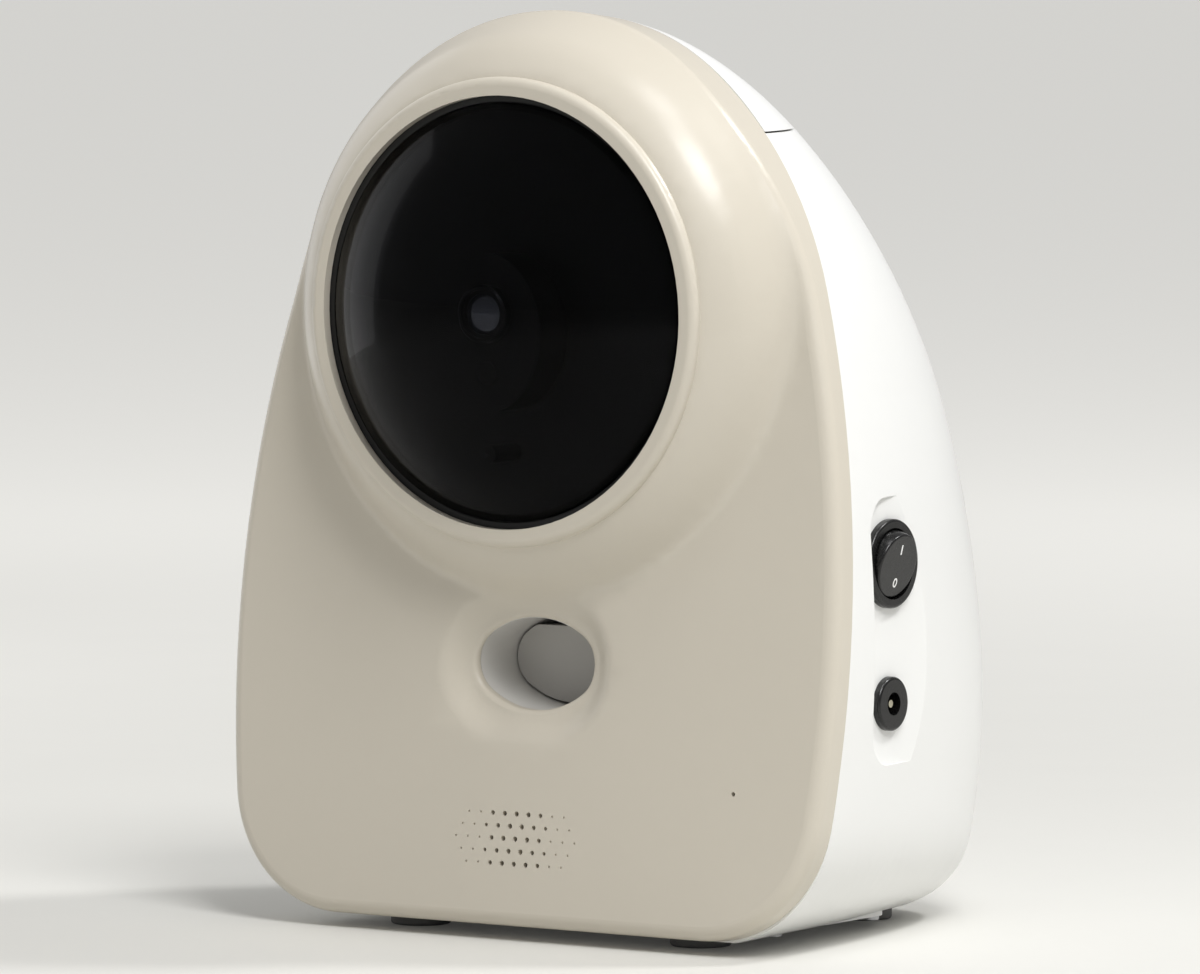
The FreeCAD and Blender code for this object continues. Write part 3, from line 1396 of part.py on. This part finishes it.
def all_parts():
    """Every piece of the camera by its name."""
    outer, inner = rear_pair()
    parts = {
        "front_shell": front_shell(), "rear_housing": rear_housing(outer, inner),
        "lid": lid(outer, inner), "lid_liner": lid_liner(inner), "lid_seal": lid_seal(),
        "lid_hinge_pin": hinge_pin(), "base_plate": base_plate(), "base_screws": base_screws(),
        "frame_screws": frame_screws(), "shell_screws": shell_screws(),
        "hopper": hopper(inner), "wheel_casing": wheel_casing(), "treat_wheel": treat_wheel(),
        "wheel_shaft": wheel_shaft(), "wheel_gear": wheel_gear(), "wheel_pinion": wheel_pinion(),
        "wheel_motor": gear_motor(pinion_y, pinion_z),
        "launch_barrel": launch_barrel(), "barrel_cap": barrel_cap(),
        "launch_plunger": launch_plunger(), "launch_spring": launch_spring(),
        "launch_gear": launch_gear(), "launch_motor": gear_motor(launch_gear_y, launch_gear_z),
        "mechanism_frame": mechanism_frame(),
        "dome_window": dome_window(), "window_gasket": window_gasket(),
        "camera_basket": camera_basket(), "carrier_screws": carrier_screws(),
        "lens_barrel": lens_barrel(), "lens_glass": lens_glass(),
        "image_sensor_board": image_sensor_board(), "light_sensor": light_sensor(),
        "status_light": status_light(), "microphone": microphone(),
        "main_board": main_board(), "board_spacers": board_spacers(), "board_screws": board_screws(),
        "switch_body": switch_body(), "rocker": rocker(), "switch_terminals": switch_terminals(),
    }
    names = ("foot_front_left", "foot_front_right", "foot_rear_left", "foot_rear_right")
    for name, (x, y) in zip(names, foot_places()):
        parts[name] = foot(x, y)
    parts.update(speaker_parts())
    parts.update(board_parts())
    parts.update(jack_parts())
    return parts


def write(parts):
    """Move the origin under the middle of the camera and write one file per piece."""
    rear_y = parts["rear_housing"].optimalBoundingBox().YMax
    middle = (rear_y - front_reach) / 2
    os.makedirs("parts", exist_ok=True)
    for name, shape in parts.items():
        moved = shape.copy()
        moved.translate(vec(0, -middle, 0))
        moved.exportStep("parts/%s.step" % name)
    print("the seam's foot line is at y = %.3f" % -middle)


write(all_parts())
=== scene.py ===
import bpy
import math
from mathutils import Matrix, Vector


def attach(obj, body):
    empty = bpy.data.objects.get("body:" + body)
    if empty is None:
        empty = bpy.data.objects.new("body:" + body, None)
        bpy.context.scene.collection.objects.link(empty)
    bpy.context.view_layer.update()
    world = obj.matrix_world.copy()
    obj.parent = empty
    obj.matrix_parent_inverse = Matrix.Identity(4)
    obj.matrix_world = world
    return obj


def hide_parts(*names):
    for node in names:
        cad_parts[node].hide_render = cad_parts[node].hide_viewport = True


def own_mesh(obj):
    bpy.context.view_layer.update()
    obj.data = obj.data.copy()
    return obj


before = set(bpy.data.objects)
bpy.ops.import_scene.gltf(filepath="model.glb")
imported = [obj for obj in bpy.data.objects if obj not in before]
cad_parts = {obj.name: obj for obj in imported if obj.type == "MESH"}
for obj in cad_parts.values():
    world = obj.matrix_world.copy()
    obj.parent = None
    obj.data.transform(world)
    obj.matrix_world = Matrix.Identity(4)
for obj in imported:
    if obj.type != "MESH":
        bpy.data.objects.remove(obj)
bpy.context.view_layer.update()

# Camera: a long lens, nearly level, 35 degrees round to the product's right side.
# SEAM_FOOT is the foot of the seam between the cream face and the white back.
VIEW_TURN = math.radians(34.69)
VIEW_RISE = math.radians(3.95)
VIEW_DISTANCE = 2.4909
VIEW_OFFSET = (0.01906, 0.1175)
SEAM_FOOT = Vector((0.0, -0.050338, 0.0))

view_right = Vector((math.cos(VIEW_TURN), math.sin(VIEW_TURN), 0.0))
view_back = Vector((math.sin(VIEW_TURN) * math.cos(VIEW_RISE),
                    -math.cos(VIEW_TURN) * math.cos(VIEW_RISE), math.sin(VIEW_RISE)))
view_up = view_back.cross(view_right)
lens = bpy.data.cameras.new("studio_camera")
lens.sensor_width = 36.0
lens.lens = 287.7
lens.clip_end = 50.0
camera = bpy.data.objects.new("studio_camera", lens)
camera.matrix_world = Matrix.Translation(
    SEAM_FOOT + view_right * VIEW_OFFSET[0] + view_up * VIEW_OFFSET[1] + view_back * VIEW_DISTANCE
) @ Matrix((view_right, view_up, view_back)).transposed().to_4x4()
bpy.context.scene.collection.objects.link(camera)
bpy.context.scene.camera = camera
bpy.context.scene.view_settings.view_transform = "Standard"


# Front shell: the cream face with the window ring, the swollen collar round it, the treat mouth
# and the speaker holes. Injection moulded in ABS with a fine spark-eroded texture, and held to
# the back by screws from inside.
def paint(code):
    """An sRGB hex colour as the linear colour a shader takes."""
    parts = [int(code[i:i + 2], 16) / 255 for i in (1, 3, 5)]
    return tuple(c / 12.92 if c <= 0.04045 else ((c + 0.055) / 1.055) ** 2.4 for c in parts) + (1.0,)


def node(tree, kind, settings=None, links=None):
    """Adds one shader node with its settings and its input links."""
    made = tree.nodes.new(kind)
    for name, value in (settings or {}).items():
        if name in made.inputs:
            made.inputs[name].default_value = value
        else:
            setattr(made, name, value)
    for name, source in (links or {}).items():
        tree.links.new(source, made.inputs[name])
    return made


def surface(name, colour, roughness, grain_mm=0.4, bump=0.02, mottle=0.02, fixed=None):
    """A plain finish: a faint drift of tone over 50 mm, and a fine grain in its gloss and relief.

    The grain of a mould or a plating is finer than a pixel, so it is drawn a few times coarser.
    """
    made = bpy.data.materials.new(name)
    made.use_nodes = True
    tree = made.node_tree
    shader = tree.nodes["Principled BSDF"]
    for socket, value in (fixed or {}).items():
        shader.inputs[socket].default_value = value
    place = node(tree, "ShaderNodeTexCoord").outputs["Object"]
    drift = node(tree, "ShaderNodeTexNoise", {"Scale": 20.0, "Detail": 2.0}, {"Vector": place})
    tone = node(tree, "ShaderNodeMix", {"data_type": "RGBA"}, {"Factor": drift.outputs["Fac"]})
    # Inputs 6 and 7 are the two colours that this node mixes, and output 2 is their mix.
    tone.inputs[6].default_value = tuple(c * (1 - mottle) for c in paint(colour)[:3]) + (1.0,)
    tone.inputs[7].default_value = tuple(min(1.0, c * (1 + mottle)) for c in paint(colour)[:3]) + (1.0,)
    tree.links.new(tone.outputs[2], shader.inputs["Base Color"])
    grain = node(tree, "ShaderNodeTexNoise", {"Scale": 1000.0 / grain_mm, "Detail": 3.0}, {"Vector": place})
    rough = node(tree, "ShaderNodeMapRange", {"To Min": roughness * 0.92, "To Max": roughness * 1.08},
                 {"Value": grain.outputs["Fac"]})
    tree.links.new(rough.outputs["Result"], shader.inputs["Roughness"])
    relief = node(tree, "ShaderNodeBump", {"Strength": bump, "Distance": 0.0001},
                  {"Height": grain.outputs["Fac"]})
    tree.links.new(relief.outputs["Normal"], shader.inputs["Normal"])
    return made


def dress(name, material):
    """Gives a piece of the frame its finish."""
    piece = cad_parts[name]
    piece.data.materials.clear()
    piece.data.materials.append(material)


# ABS from a spark-eroded mould: satin, warm, with a soft broad highlight and no pattern to see.
cream_abs = surface("satin_cream_abs", "#cfc8ba", 0.3, 0.35, 0.03, 0.012)
dress("front_shell", cream_abs)


# Rear housing and lid: the white back in two mouldings, parted by a thin level seam, with the
# sunk panel for the switch and the power inlet.
# The same satin ABS as the face, in a white that stays clearly brighter than the cream.
white_abs = surface("satin_white_abs", "#eeeeec", 0.34, 0.35, 0.03, 0.01)
dress("rear_housing", white_abs)
dress("lid", white_abs)
dress("lid_liner", white_abs)


# Domed window: smoked acrylic, vacuum formed, polished and coated against glare. The tint leaves
# a quarter of the light, and the coat gives hard but very dim reflections, hence the low index.
smoked_acrylic = surface("smoked_acrylic", "#88888c", 0.0, 2.0, 0.0, 0.01, {
    "Transmission Weight": 1.0, "IOR": 1.12})
dress("dome_window", smoked_acrylic)


# Window gasket: a thin black ring of soft rubber that seats the window's flange in the bezel.
# Moulded with a rounded outer lip; turned here about the window's axis from its section.
WINDOW_HEIGHT = 163.4
GASKET_SECTION = (3.1, 1.36, 1.0)
WELD_DISTANCE = 0.000004
SMOOTH_ANGLE = math.radians(35)


def spot(x, y, z):
    """A place in metres from millimetres measured off the foot of the seam."""
    return Vector((x / 1000, y / 1000, z / 1000)) + SEAM_FOOT


def alone():
    """Leaves edit mode with nothing selected, ready for the next primitive."""
    if bpy.context.object is not None and bpy.context.object.mode == "EDIT":
        bpy.ops.object.mode_set(mode="OBJECT")
    bpy.ops.object.select_all(action="DESELECT")


def settle(name, material, body, stands_for=()):
    """Applies the piece's place, smooths it, and gives it its name, finish and body."""
    piece = bpy.context.object
    bpy.ops.object.mode_set(mode="OBJECT")
    bpy.ops.object.transform_apply(location=True, rotation=True, scale=True)
    bpy.ops.object.mode_set(mode="EDIT")
    bpy.ops.mesh.select_all(action="SELECT")
    bpy.ops.mesh.remove_doubles(threshold=WELD_DISTANCE)
    bpy.ops.mesh.normals_make_consistent(inside=False)
    bpy.ops.object.mode_set(mode="OBJECT")
    bpy.ops.object.shade_smooth_by_angle(angle=SMOOTH_ANGLE)
    piece.name = name
    piece.data.name = name
    piece.data.materials.clear()
    piece.data.materials.append(material)
    for node_name in stands_for:
        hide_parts(node_name)
    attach(piece, body)
    return piece


# Moulded rubber: a dull, deep black that reads as one thin line round the window.
black_epdm = surface("moulded_black_epdm", "#0d0d0d", 0.55, 0.3, 0.05)
gasket_middle = spot(55.65, -8.8, WINDOW_HEIGHT)
alone()
bpy.ops.mesh.primitive_plane_add(size=0.001, location=gasket_middle, rotation=(math.radians(90), 0, 0))
bpy.context.object.scale = GASKET_SECTION
bpy.ops.object.transform_apply(location=True, rotation=True, scale=True)
bpy.ops.object.mode_set(mode="EDIT")
bpy.ops.transform.rotate(value=math.radians(90), orient_axis="X", center_override=gasket_middle)
bpy.ops.mesh.bevel(offset=0.0004, segments=3, affect="VERTICES")
bpy.ops.mesh.spin(steps=128, angle=math.radians(360), center=spot(0, 0, WINDOW_HEIGHT), axis=(0, 1, 0))
settle("window_ring_rubber", black_epdm, "housing", ("window_gasket",))


# Camera carrier and its screws: the black tub behind the window that holds the camera, moulded
# in black ABS so that nothing but the lens shows through the smoke.
# Matt ABS that swallows the light, and zinc plate, a pale grey metal with soft glints.
black_abs = surface("matt_black_abs", "#050505", 0.5, 0.3, 0.03)
steel = surface("zinc_plated_steel", "#b9babc", 0.32, 0.2, 0.03, 0.02, {"Metallic": 1.0})
dress("camera_basket", black_abs)
dress("carrier_screws", steel)


# Camera module: turned lens barrel, coated front glass, board with its sensor, the round light
# sensor under the lens and the small status light near the foot of the window.
# A dark satin sheen on the barrel, a cold grey mirror in the coated glass, a glossy green board,
# a sensor cover that looks solid black, and a dot of tinted epoxy that is dark while unlit.
barrel_black = surface("black_anodised_aluminium", "#1c1c1c", 0.28, 0.15, 0.02)
lens_coated = surface("coated_optical_glass", "#8a929c", 0.12, 1.0, 0.0, 0.02, {
    "Metallic": 0.6, "Coat Weight": 1.0, "Coat IOR": 2.4, "Coat Roughness": 0.02})
solder_green = surface("green_solder_mask_on_fr4", "#1f5a35", 0.35, 0.5, 0.06)
sensor_black = surface("dark_infrared_acrylic", "#101012", 0.12, 1.0, 0.0)
led_epoxy = surface("grey_tinted_epoxy", "#4a4c4e", 0.15, 1.0, 0.0)
dress("lens_barrel", barrel_black)
dress("lens_glass", lens_coated)
dress("image_sensor_board", solder_green)
dress("light_sensor", sensor_black)
dress("status_light", led_epoxy)


# Launch barrel, its cap and the paddle: the tube behind the mouth and the plate that throws the
# treat. Acetal, left in its natural off-white, because it slides without grease.
# Off-white and light grey, slightly waxy, with a broad weak highlight.
natural_acetal = surface("natural_acetal", "#d6d4d0", 0.42, 0.5, 0.02)
grey_acetal = surface("grey_acetal", "#b4b2ae", 0.42, 0.5, 0.02)
dress("launch_barrel", natural_acetal)
dress("barrel_cap", natural_acetal)
dress("launch_plunger", grey_acetal)


# Launch spring: a compression coil of 1.2 mm spring steel behind the paddle, wound here as a
# screw of its round wire. It shortens as the paddle is drawn back.
MOUTH_HEIGHT = 71.5
WIRE_RADIUS = 0.0006
COIL_RADIUS = 0.007
COIL_LENGTH = 0.0539
COIL_TURNS = 7
STEPS_PER_TURN = 24
COIL_START = 26.4
# Drawn steel wire: bright, with one thin glint along each turn.
spring_steel = surface("bright_spring_steel", "#c4c5c7", 0.25, 0.1, 0.02, 0.02, {"Metallic": 1.0})
alone()
bpy.ops.mesh.primitive_circle_add(vertices=12, radius=WIRE_RADIUS,
                                  location=spot(0, COIL_START, MOUTH_HEIGHT))
bpy.ops.object.mode_set(mode="EDIT")
bpy.ops.transform.translate(value=(COIL_RADIUS, 0, 0))
bpy.ops.object.mode_set(mode="OBJECT")
bpy.ops.object.modifier_add(type="SCREW")
coil = bpy.context.object.modifiers[-1]
coil.axis = "Y"
coil.angle = math.radians(360 * COIL_TURNS)
coil.screw_offset = COIL_LENGTH
coil.steps = coil.render_steps = STEPS_PER_TURN * COIL_TURNS
bpy.ops.object.modifier_apply(modifier=coil.name)
bpy.ops.object.mode_set(mode="EDIT")
bpy.ops.mesh.select_all(action="DESELECT")
bpy.ops.mesh.select_non_manifold()
bpy.ops.mesh.edge_face_add()
spring = settle("launch_coil", spring_steel, "housing", ("launch_spring",))
# The cap's seat is at 81.0, and the paddle's back is at 25.8 at rest and at 57.8 when drawn.
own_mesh(spring)


# Launch drive: the sector gear on its shaft that draws the paddle back by its rack, and the
# small geared motor that turns it.
# Dark grey gears with a soft sheen, and a bright nickel-plated can with sharper glints.
dark_acetal = surface("dark_grey_acetal", "#4a4b4d", 0.38, 0.4, 0.02)
motor_can = surface("nickel_plated_steel_can", "#a9aaac", 0.28, 0.2, 0.03, 0.02, {"Metallic": 1.0})
dress("launch_gear", dark_acetal)
dress("launch_motor", motor_can)


# Hopper and treat wheel: the tapering bucket under the lid, the pocketed wheel in its casing,
# and the wheel's shaft, gear, pinion and geared motor.
# The plain light grey of inner mouldings, satin and without a texture to notice.
grey_abs = surface("light_grey_abs", "#b9b8b4", 0.4, 0.4, 0.03)
dress("hopper", grey_abs)
dress("wheel_casing", grey_abs)
dress("treat_wheel", white_abs)
dress("wheel_shaft", steel)
dress("wheel_gear", dark_acetal)
dress("wheel_pinion", dark_acetal)
dress("wheel_motor", motor_can)


# Lid seal: a ring of grey silicone round the mouth of the hopper that keeps the treats dry.
# Laid here as a rounded strip along the mouth's outline.
SEAL_OUTLINE = (77.0, 41.0, 1.0)
SEAL_CORNER = 0.0185
SEAL_RADIUS = 0.0009
SEAL_MIDDLE = (0, 47.0, 209.4)
# Silicone: a mid grey, dull, with a faint greasy highlight.
grey_silicone = surface("grey_silicone", "#8b8c8c", 0.5, 0.3, 0.02)
alone()
bpy.ops.mesh.primitive_plane_add(size=0.001, location=spot(*SEAL_MIDDLE))
bpy.context.object.scale = SEAL_OUTLINE
bpy.ops.object.transform_apply(location=False, rotation=False, scale=True)
bpy.ops.object.mode_set(mode="EDIT")
bpy.ops.mesh.bevel(offset=SEAL_CORNER, segments=12, affect="VERTICES")
bpy.ops.mesh.delete(type="ONLY_FACE")
bpy.ops.object.mode_set(mode="OBJECT")
bpy.ops.object.convert(target="CURVE")
strip = bpy.context.object.data
strip.bevel_depth = SEAL_RADIUS
strip.bevel_resolution = 3
bpy.ops.object.convert(target="MESH")
settle("hopper_mouth_seal", grey_silicone, "lid", ("lid_seal",))


# Lid hinge pin: a pin of zinc-plated steel wire, cut to length and pushed through the knuckles
# of the lid and of the back.
dress("lid_hinge_pin", steel)


# Inner frame, base plate and their screws: two moulded side plates with the bearing holes, and
# the plate that closes the underside.
dress("mechanism_frame", grey_abs)
dress("base_plate", white_abs)
for screws in ("base_screws", "frame_screws", "shell_screws", "board_screws"):
    dress(screws, steel)


# Feet: four round pads of grey soft rubber pressed into the underside, with a rounded lower rim
# and a shallow dimple that helps them to grip.
FOOT_RADIUS = 0.008
FOOT_HEIGHT = 0.0033
FOOT_PLACES = (("front_left", -44.5, 15.0), ("front_right", 44.5, 15.0),
               ("rear_left", -44.5, 91.0), ("rear_right", 44.5, 91.0))
RIM_ROUNDING = 0.0008
DIMPLE_INSET = 0.002
DIMPLE_SLOPE = 0.0008
DIMPLE_DEPTH = 0.0005


def pick_underside():
    """Leaves only the flat faces that look down selected, in edit mode."""
    bpy.ops.mesh.select_all(action="DESELECT")
    bpy.ops.object.mode_set(mode="OBJECT")
    for face in bpy.context.object.data.polygons:
        face.select = face.normal.z < -0.99
    bpy.ops.object.mode_set(mode="EDIT")


# Soft rubber: a mid grey with no shine.
foot_rubber = surface("soft_grey_tpe", "#6c6c6b", 0.6, 0.4, 0.04)
for foot, x, y in FOOT_PLACES:
    alone()
    bpy.ops.mesh.primitive_cylinder_add(vertices=64, radius=FOOT_RADIUS, depth=FOOT_HEIGHT,
                                        location=spot(x, y, 1000 * FOOT_HEIGHT / 2))
    bpy.ops.object.mode_set(mode="EDIT")
    pick_underside()
    bpy.ops.mesh.bevel(offset=RIM_ROUNDING, segments=4)
    pick_underside()
    bpy.ops.mesh.inset(thickness=DIMPLE_INSET)
    bpy.ops.mesh.inset(thickness=DIMPLE_SLOPE)
    bpy.ops.transform.translate(value=(0, 0, DIMPLE_DEPTH))
    settle("foot_pad_" + foot, foot_rubber, "housing", ("foot_" + foot,))


# Power switch: a black nylon rocker in its round flange. The rocker carries the generic marks
# I and 0, pad printed in white.
ROCKER_TURN = math.radians(14.0)
ROCKER_MIDDLE = (90.2, 34.0, 99.7)
MARK_RISE = 4.4
MARK_LIFT = 0.00256
BAR_SIZE = (2.6, 0.55, 1.0)
OVAL_RADIUS = 0.0012
OVAL_STRETCH = (1.05, 0.78, 1.0)
OVAL_STROKE = 0.00042
PRINT_THICKNESS = 0.00008
# Nylon: black with a soft gloss. The ink is a flat white, and the contacts are a pale warm metal.
black_nylon = surface("black_nylon_66", "#0c0c0c", 0.27, 0.3, 0.02)
print_white = surface("white_pad_print", "#f2f2f0", 0.45, 0.3, 0.0)
dress("switch_body", black_nylon)
dress("rocker", black_nylon)
nickel = surface("nickel_plated_brass", "#c2bda9", 0.25, 0.2, 0.02, 0.02, {"Metallic": 1.0})
dress("switch_terminals", nickel)
rocker_middle = spot(*ROCKER_MIDDLE)
for mark, rise in (("mark_on", MARK_RISE), ("mark_off", -MARK_RISE)):
    alone()
    if mark == "mark_on":
        bpy.ops.mesh.primitive_plane_add(size=0.001, location=(0, 0, 0))
        bpy.context.object.scale = BAR_SIZE
    else:
        bpy.ops.mesh.primitive_circle_add(vertices=32, radius=OVAL_RADIUS, fill_type="NGON",
                                          location=(0, 0, 0))
        bpy.context.object.scale = OVAL_STRETCH
    bpy.ops.object.transform_apply(location=False, rotation=False, scale=True)
    bpy.ops.object.mode_set(mode="EDIT")
    bpy.ops.mesh.select_all(action="SELECT")
    if mark == "mark_off":
        bpy.ops.mesh.inset(thickness=OVAL_STROKE)
        bpy.ops.mesh.delete(type="FACE")
        bpy.ops.mesh.select_all(action="SELECT")
    bpy.ops.mesh.extrude_region_move(TRANSFORM_OT_translate={"value": (0, 0, PRINT_THICKNESS)})
    bpy.ops.object.mode_set(mode="OBJECT")
    printed = bpy.context.object
    face_up = Matrix(((0, 0, 1), (0, 1, 0), (-1, 0, 0))).to_4x4()
    raised = Matrix.Translation((MARK_LIFT, 0, rise / 1000))
    printed.matrix_world = (Matrix.Translation(rocker_middle) @ Matrix.Rotation(ROCKER_TURN, 4, "Y")
                            @ raised @ face_up)
    settle("rocker_" + mark, print_white, "rocker")


# Power inlet: a black flanged socket for a round plug, moulded in nylon, with a bright plated
# pin in its middle. A steel nut holds it from inside.
dress("jack_body", black_nylon)
dress("jack_nut", steel)
dress("jack_pin", nickel)


# Speaker and microphone: a pressed steel basket with a paper cone and a ferrite magnet behind
# the holes in the face, and the microphone's small metal can.
# The cone is dark and fibrous with no shine, and the magnet a dull, coarse dark grey.
cone_paper = surface("pressed_cone_paper", "#2b2a28", 0.8, 0.6, 0.2, 0.06)
ferrite = surface("sintered_ferrite", "#2d2d2f", 0.6, 0.5, 0.1)
dress("speaker_basket", motor_can)
dress("speaker_cone", cone_paper)
dress("speaker_magnet", ferrite)
dress("microphone", motor_can)


# Main board: green glass-fibre board on four spacers, with a shielded radio, a shielded
# processor, white sockets and one capacitor.
# Nylon left as it is: a creamy white, slightly waxy.
white_nylon = surface("natural_nylon", "#dedbd0", 0.45, 0.4, 0.02)
dress("main_board", solder_green)
dress("board_spacers", white_nylon)
dress("radio_module", motor_can)
dress("processor_shield", motor_can)
dress("board_sockets", white_nylon)
dress("board_capacitor", barrel_black)


# Floor and studio: a matt white painted floor that runs out of sight, and the even light of the
# room. To the camera, and through the window, the floor also glows a little, more with distance.
# Matt paint: an even off-white that takes the soft shadow and keeps pale to its far end.
FLOOR_SIZE = 80.0
GLOW_NEAR = (0.25, 0.03)
GLOW_FAR = (1.6, 0.4)
ROOM_LIGHT = 0.35
floor_paint = surface("matt_white_floor_paint", "#dddcd7", 0.65, 3.0, 0.02, 0.01)
alone()
bpy.ops.mesh.primitive_plane_add(size=FLOOR_SIZE, location=(0, 0, 0))
floor = bpy.context.object
floor.name = "studio_floor"
floor.data.materials.append(floor_paint)
floor_tree = floor_paint.node_tree
floor_shader = floor_tree.nodes["Principled BSDF"]
whereabouts = node(floor_tree, "ShaderNodeTexCoord").outputs["Object"]
away = node(floor_tree, "ShaderNodeVectorMath", {"operation": "LENGTH"})
floor_tree.links.new(whereabouts, away.inputs[0])
glow = node(floor_tree, "ShaderNodeMapRange", {
    "interpolation_type": "SMOOTHSTEP", "From Min": GLOW_NEAR[0], "From Max": GLOW_FAR[0],
    "To Min": GLOW_NEAR[1], "To Max": GLOW_FAR[1]}, {"Value": away.outputs["Value"]})
path = node(floor_tree, "ShaderNodeLightPath")
seen = node(floor_tree, "ShaderNodeMath", {"operation": "MAXIMUM"})
floor_tree.links.new(path.outputs["Is Camera Ray"], seen.inputs[0])
floor_tree.links.new(path.outputs["Is Transmission Ray"], seen.inputs[1])
shown = node(floor_tree, "ShaderNodeMath", {"operation": "MULTIPLY"})
floor_tree.links.new(seen.outputs["Value"], shown.inputs[0])
floor_tree.links.new(glow.outputs["Result"], shown.inputs[1])
floor_shader.inputs["Emission Color"].default_value = paint("#fbfaf6")
floor_tree.links.new(shown.outputs["Value"], floor_shader.inputs["Emission Strength"])

room = bpy.data.worlds.new("studio_room")
bpy.context.scene.world = room
room.use_nodes = True
room.node_tree.nodes["Background"].inputs["Color"].default_value = paint("#ffffff")
room.node_tree.nodes["Background"].inputs["Strength"].default_value = ROOM_LIGHT


# Lamps: a large key softbox high at the front right, a small one from behind on the right that
# throws the shadow, one overhead, and a dim one at the left that draws the upright shape in the
# smoked window.
AIM_HEIGHT = 0.14


def softbox(name, turn, rise, distance, size, watts):
    """A softbox aimed at the product; its turn is from the front towards the right."""
    lamp = bpy.data.lights.new(name, "AREA")
    lamp.shape = "RECTANGLE"
    lamp.size, lamp.size_y = size
    lamp.energy = watts
    holder = bpy.data.objects.new(name, lamp)
    bearing, slope = math.radians(turn), math.radians(rise)
    outward = Vector((math.sin(bearing) * math.cos(slope), -math.cos(bearing) * math.cos(slope),
                      math.sin(slope)))
    holder.location = Vector((0, 0, AIM_HEIGHT)) + outward * distance
    holder.rotation_mode = "QUATERNION"
    holder.rotation_quaternion = outward.to_track_quat("Z", "Y")
    bpy.context.scene.collection.objects.link(holder)


softbox("key_box", 55, 46, 2.0, (0.7, 0.7), 24)
softbox("side_box", 130, 52, 2.0, (0.25, 0.25), 15)
softbox("overhead_box", 57, 72, 1.6, (0.45, 0.45), 4.5)
softbox("left_box", -98, 12, 0.9, (0.72, 0.83), 1.5)
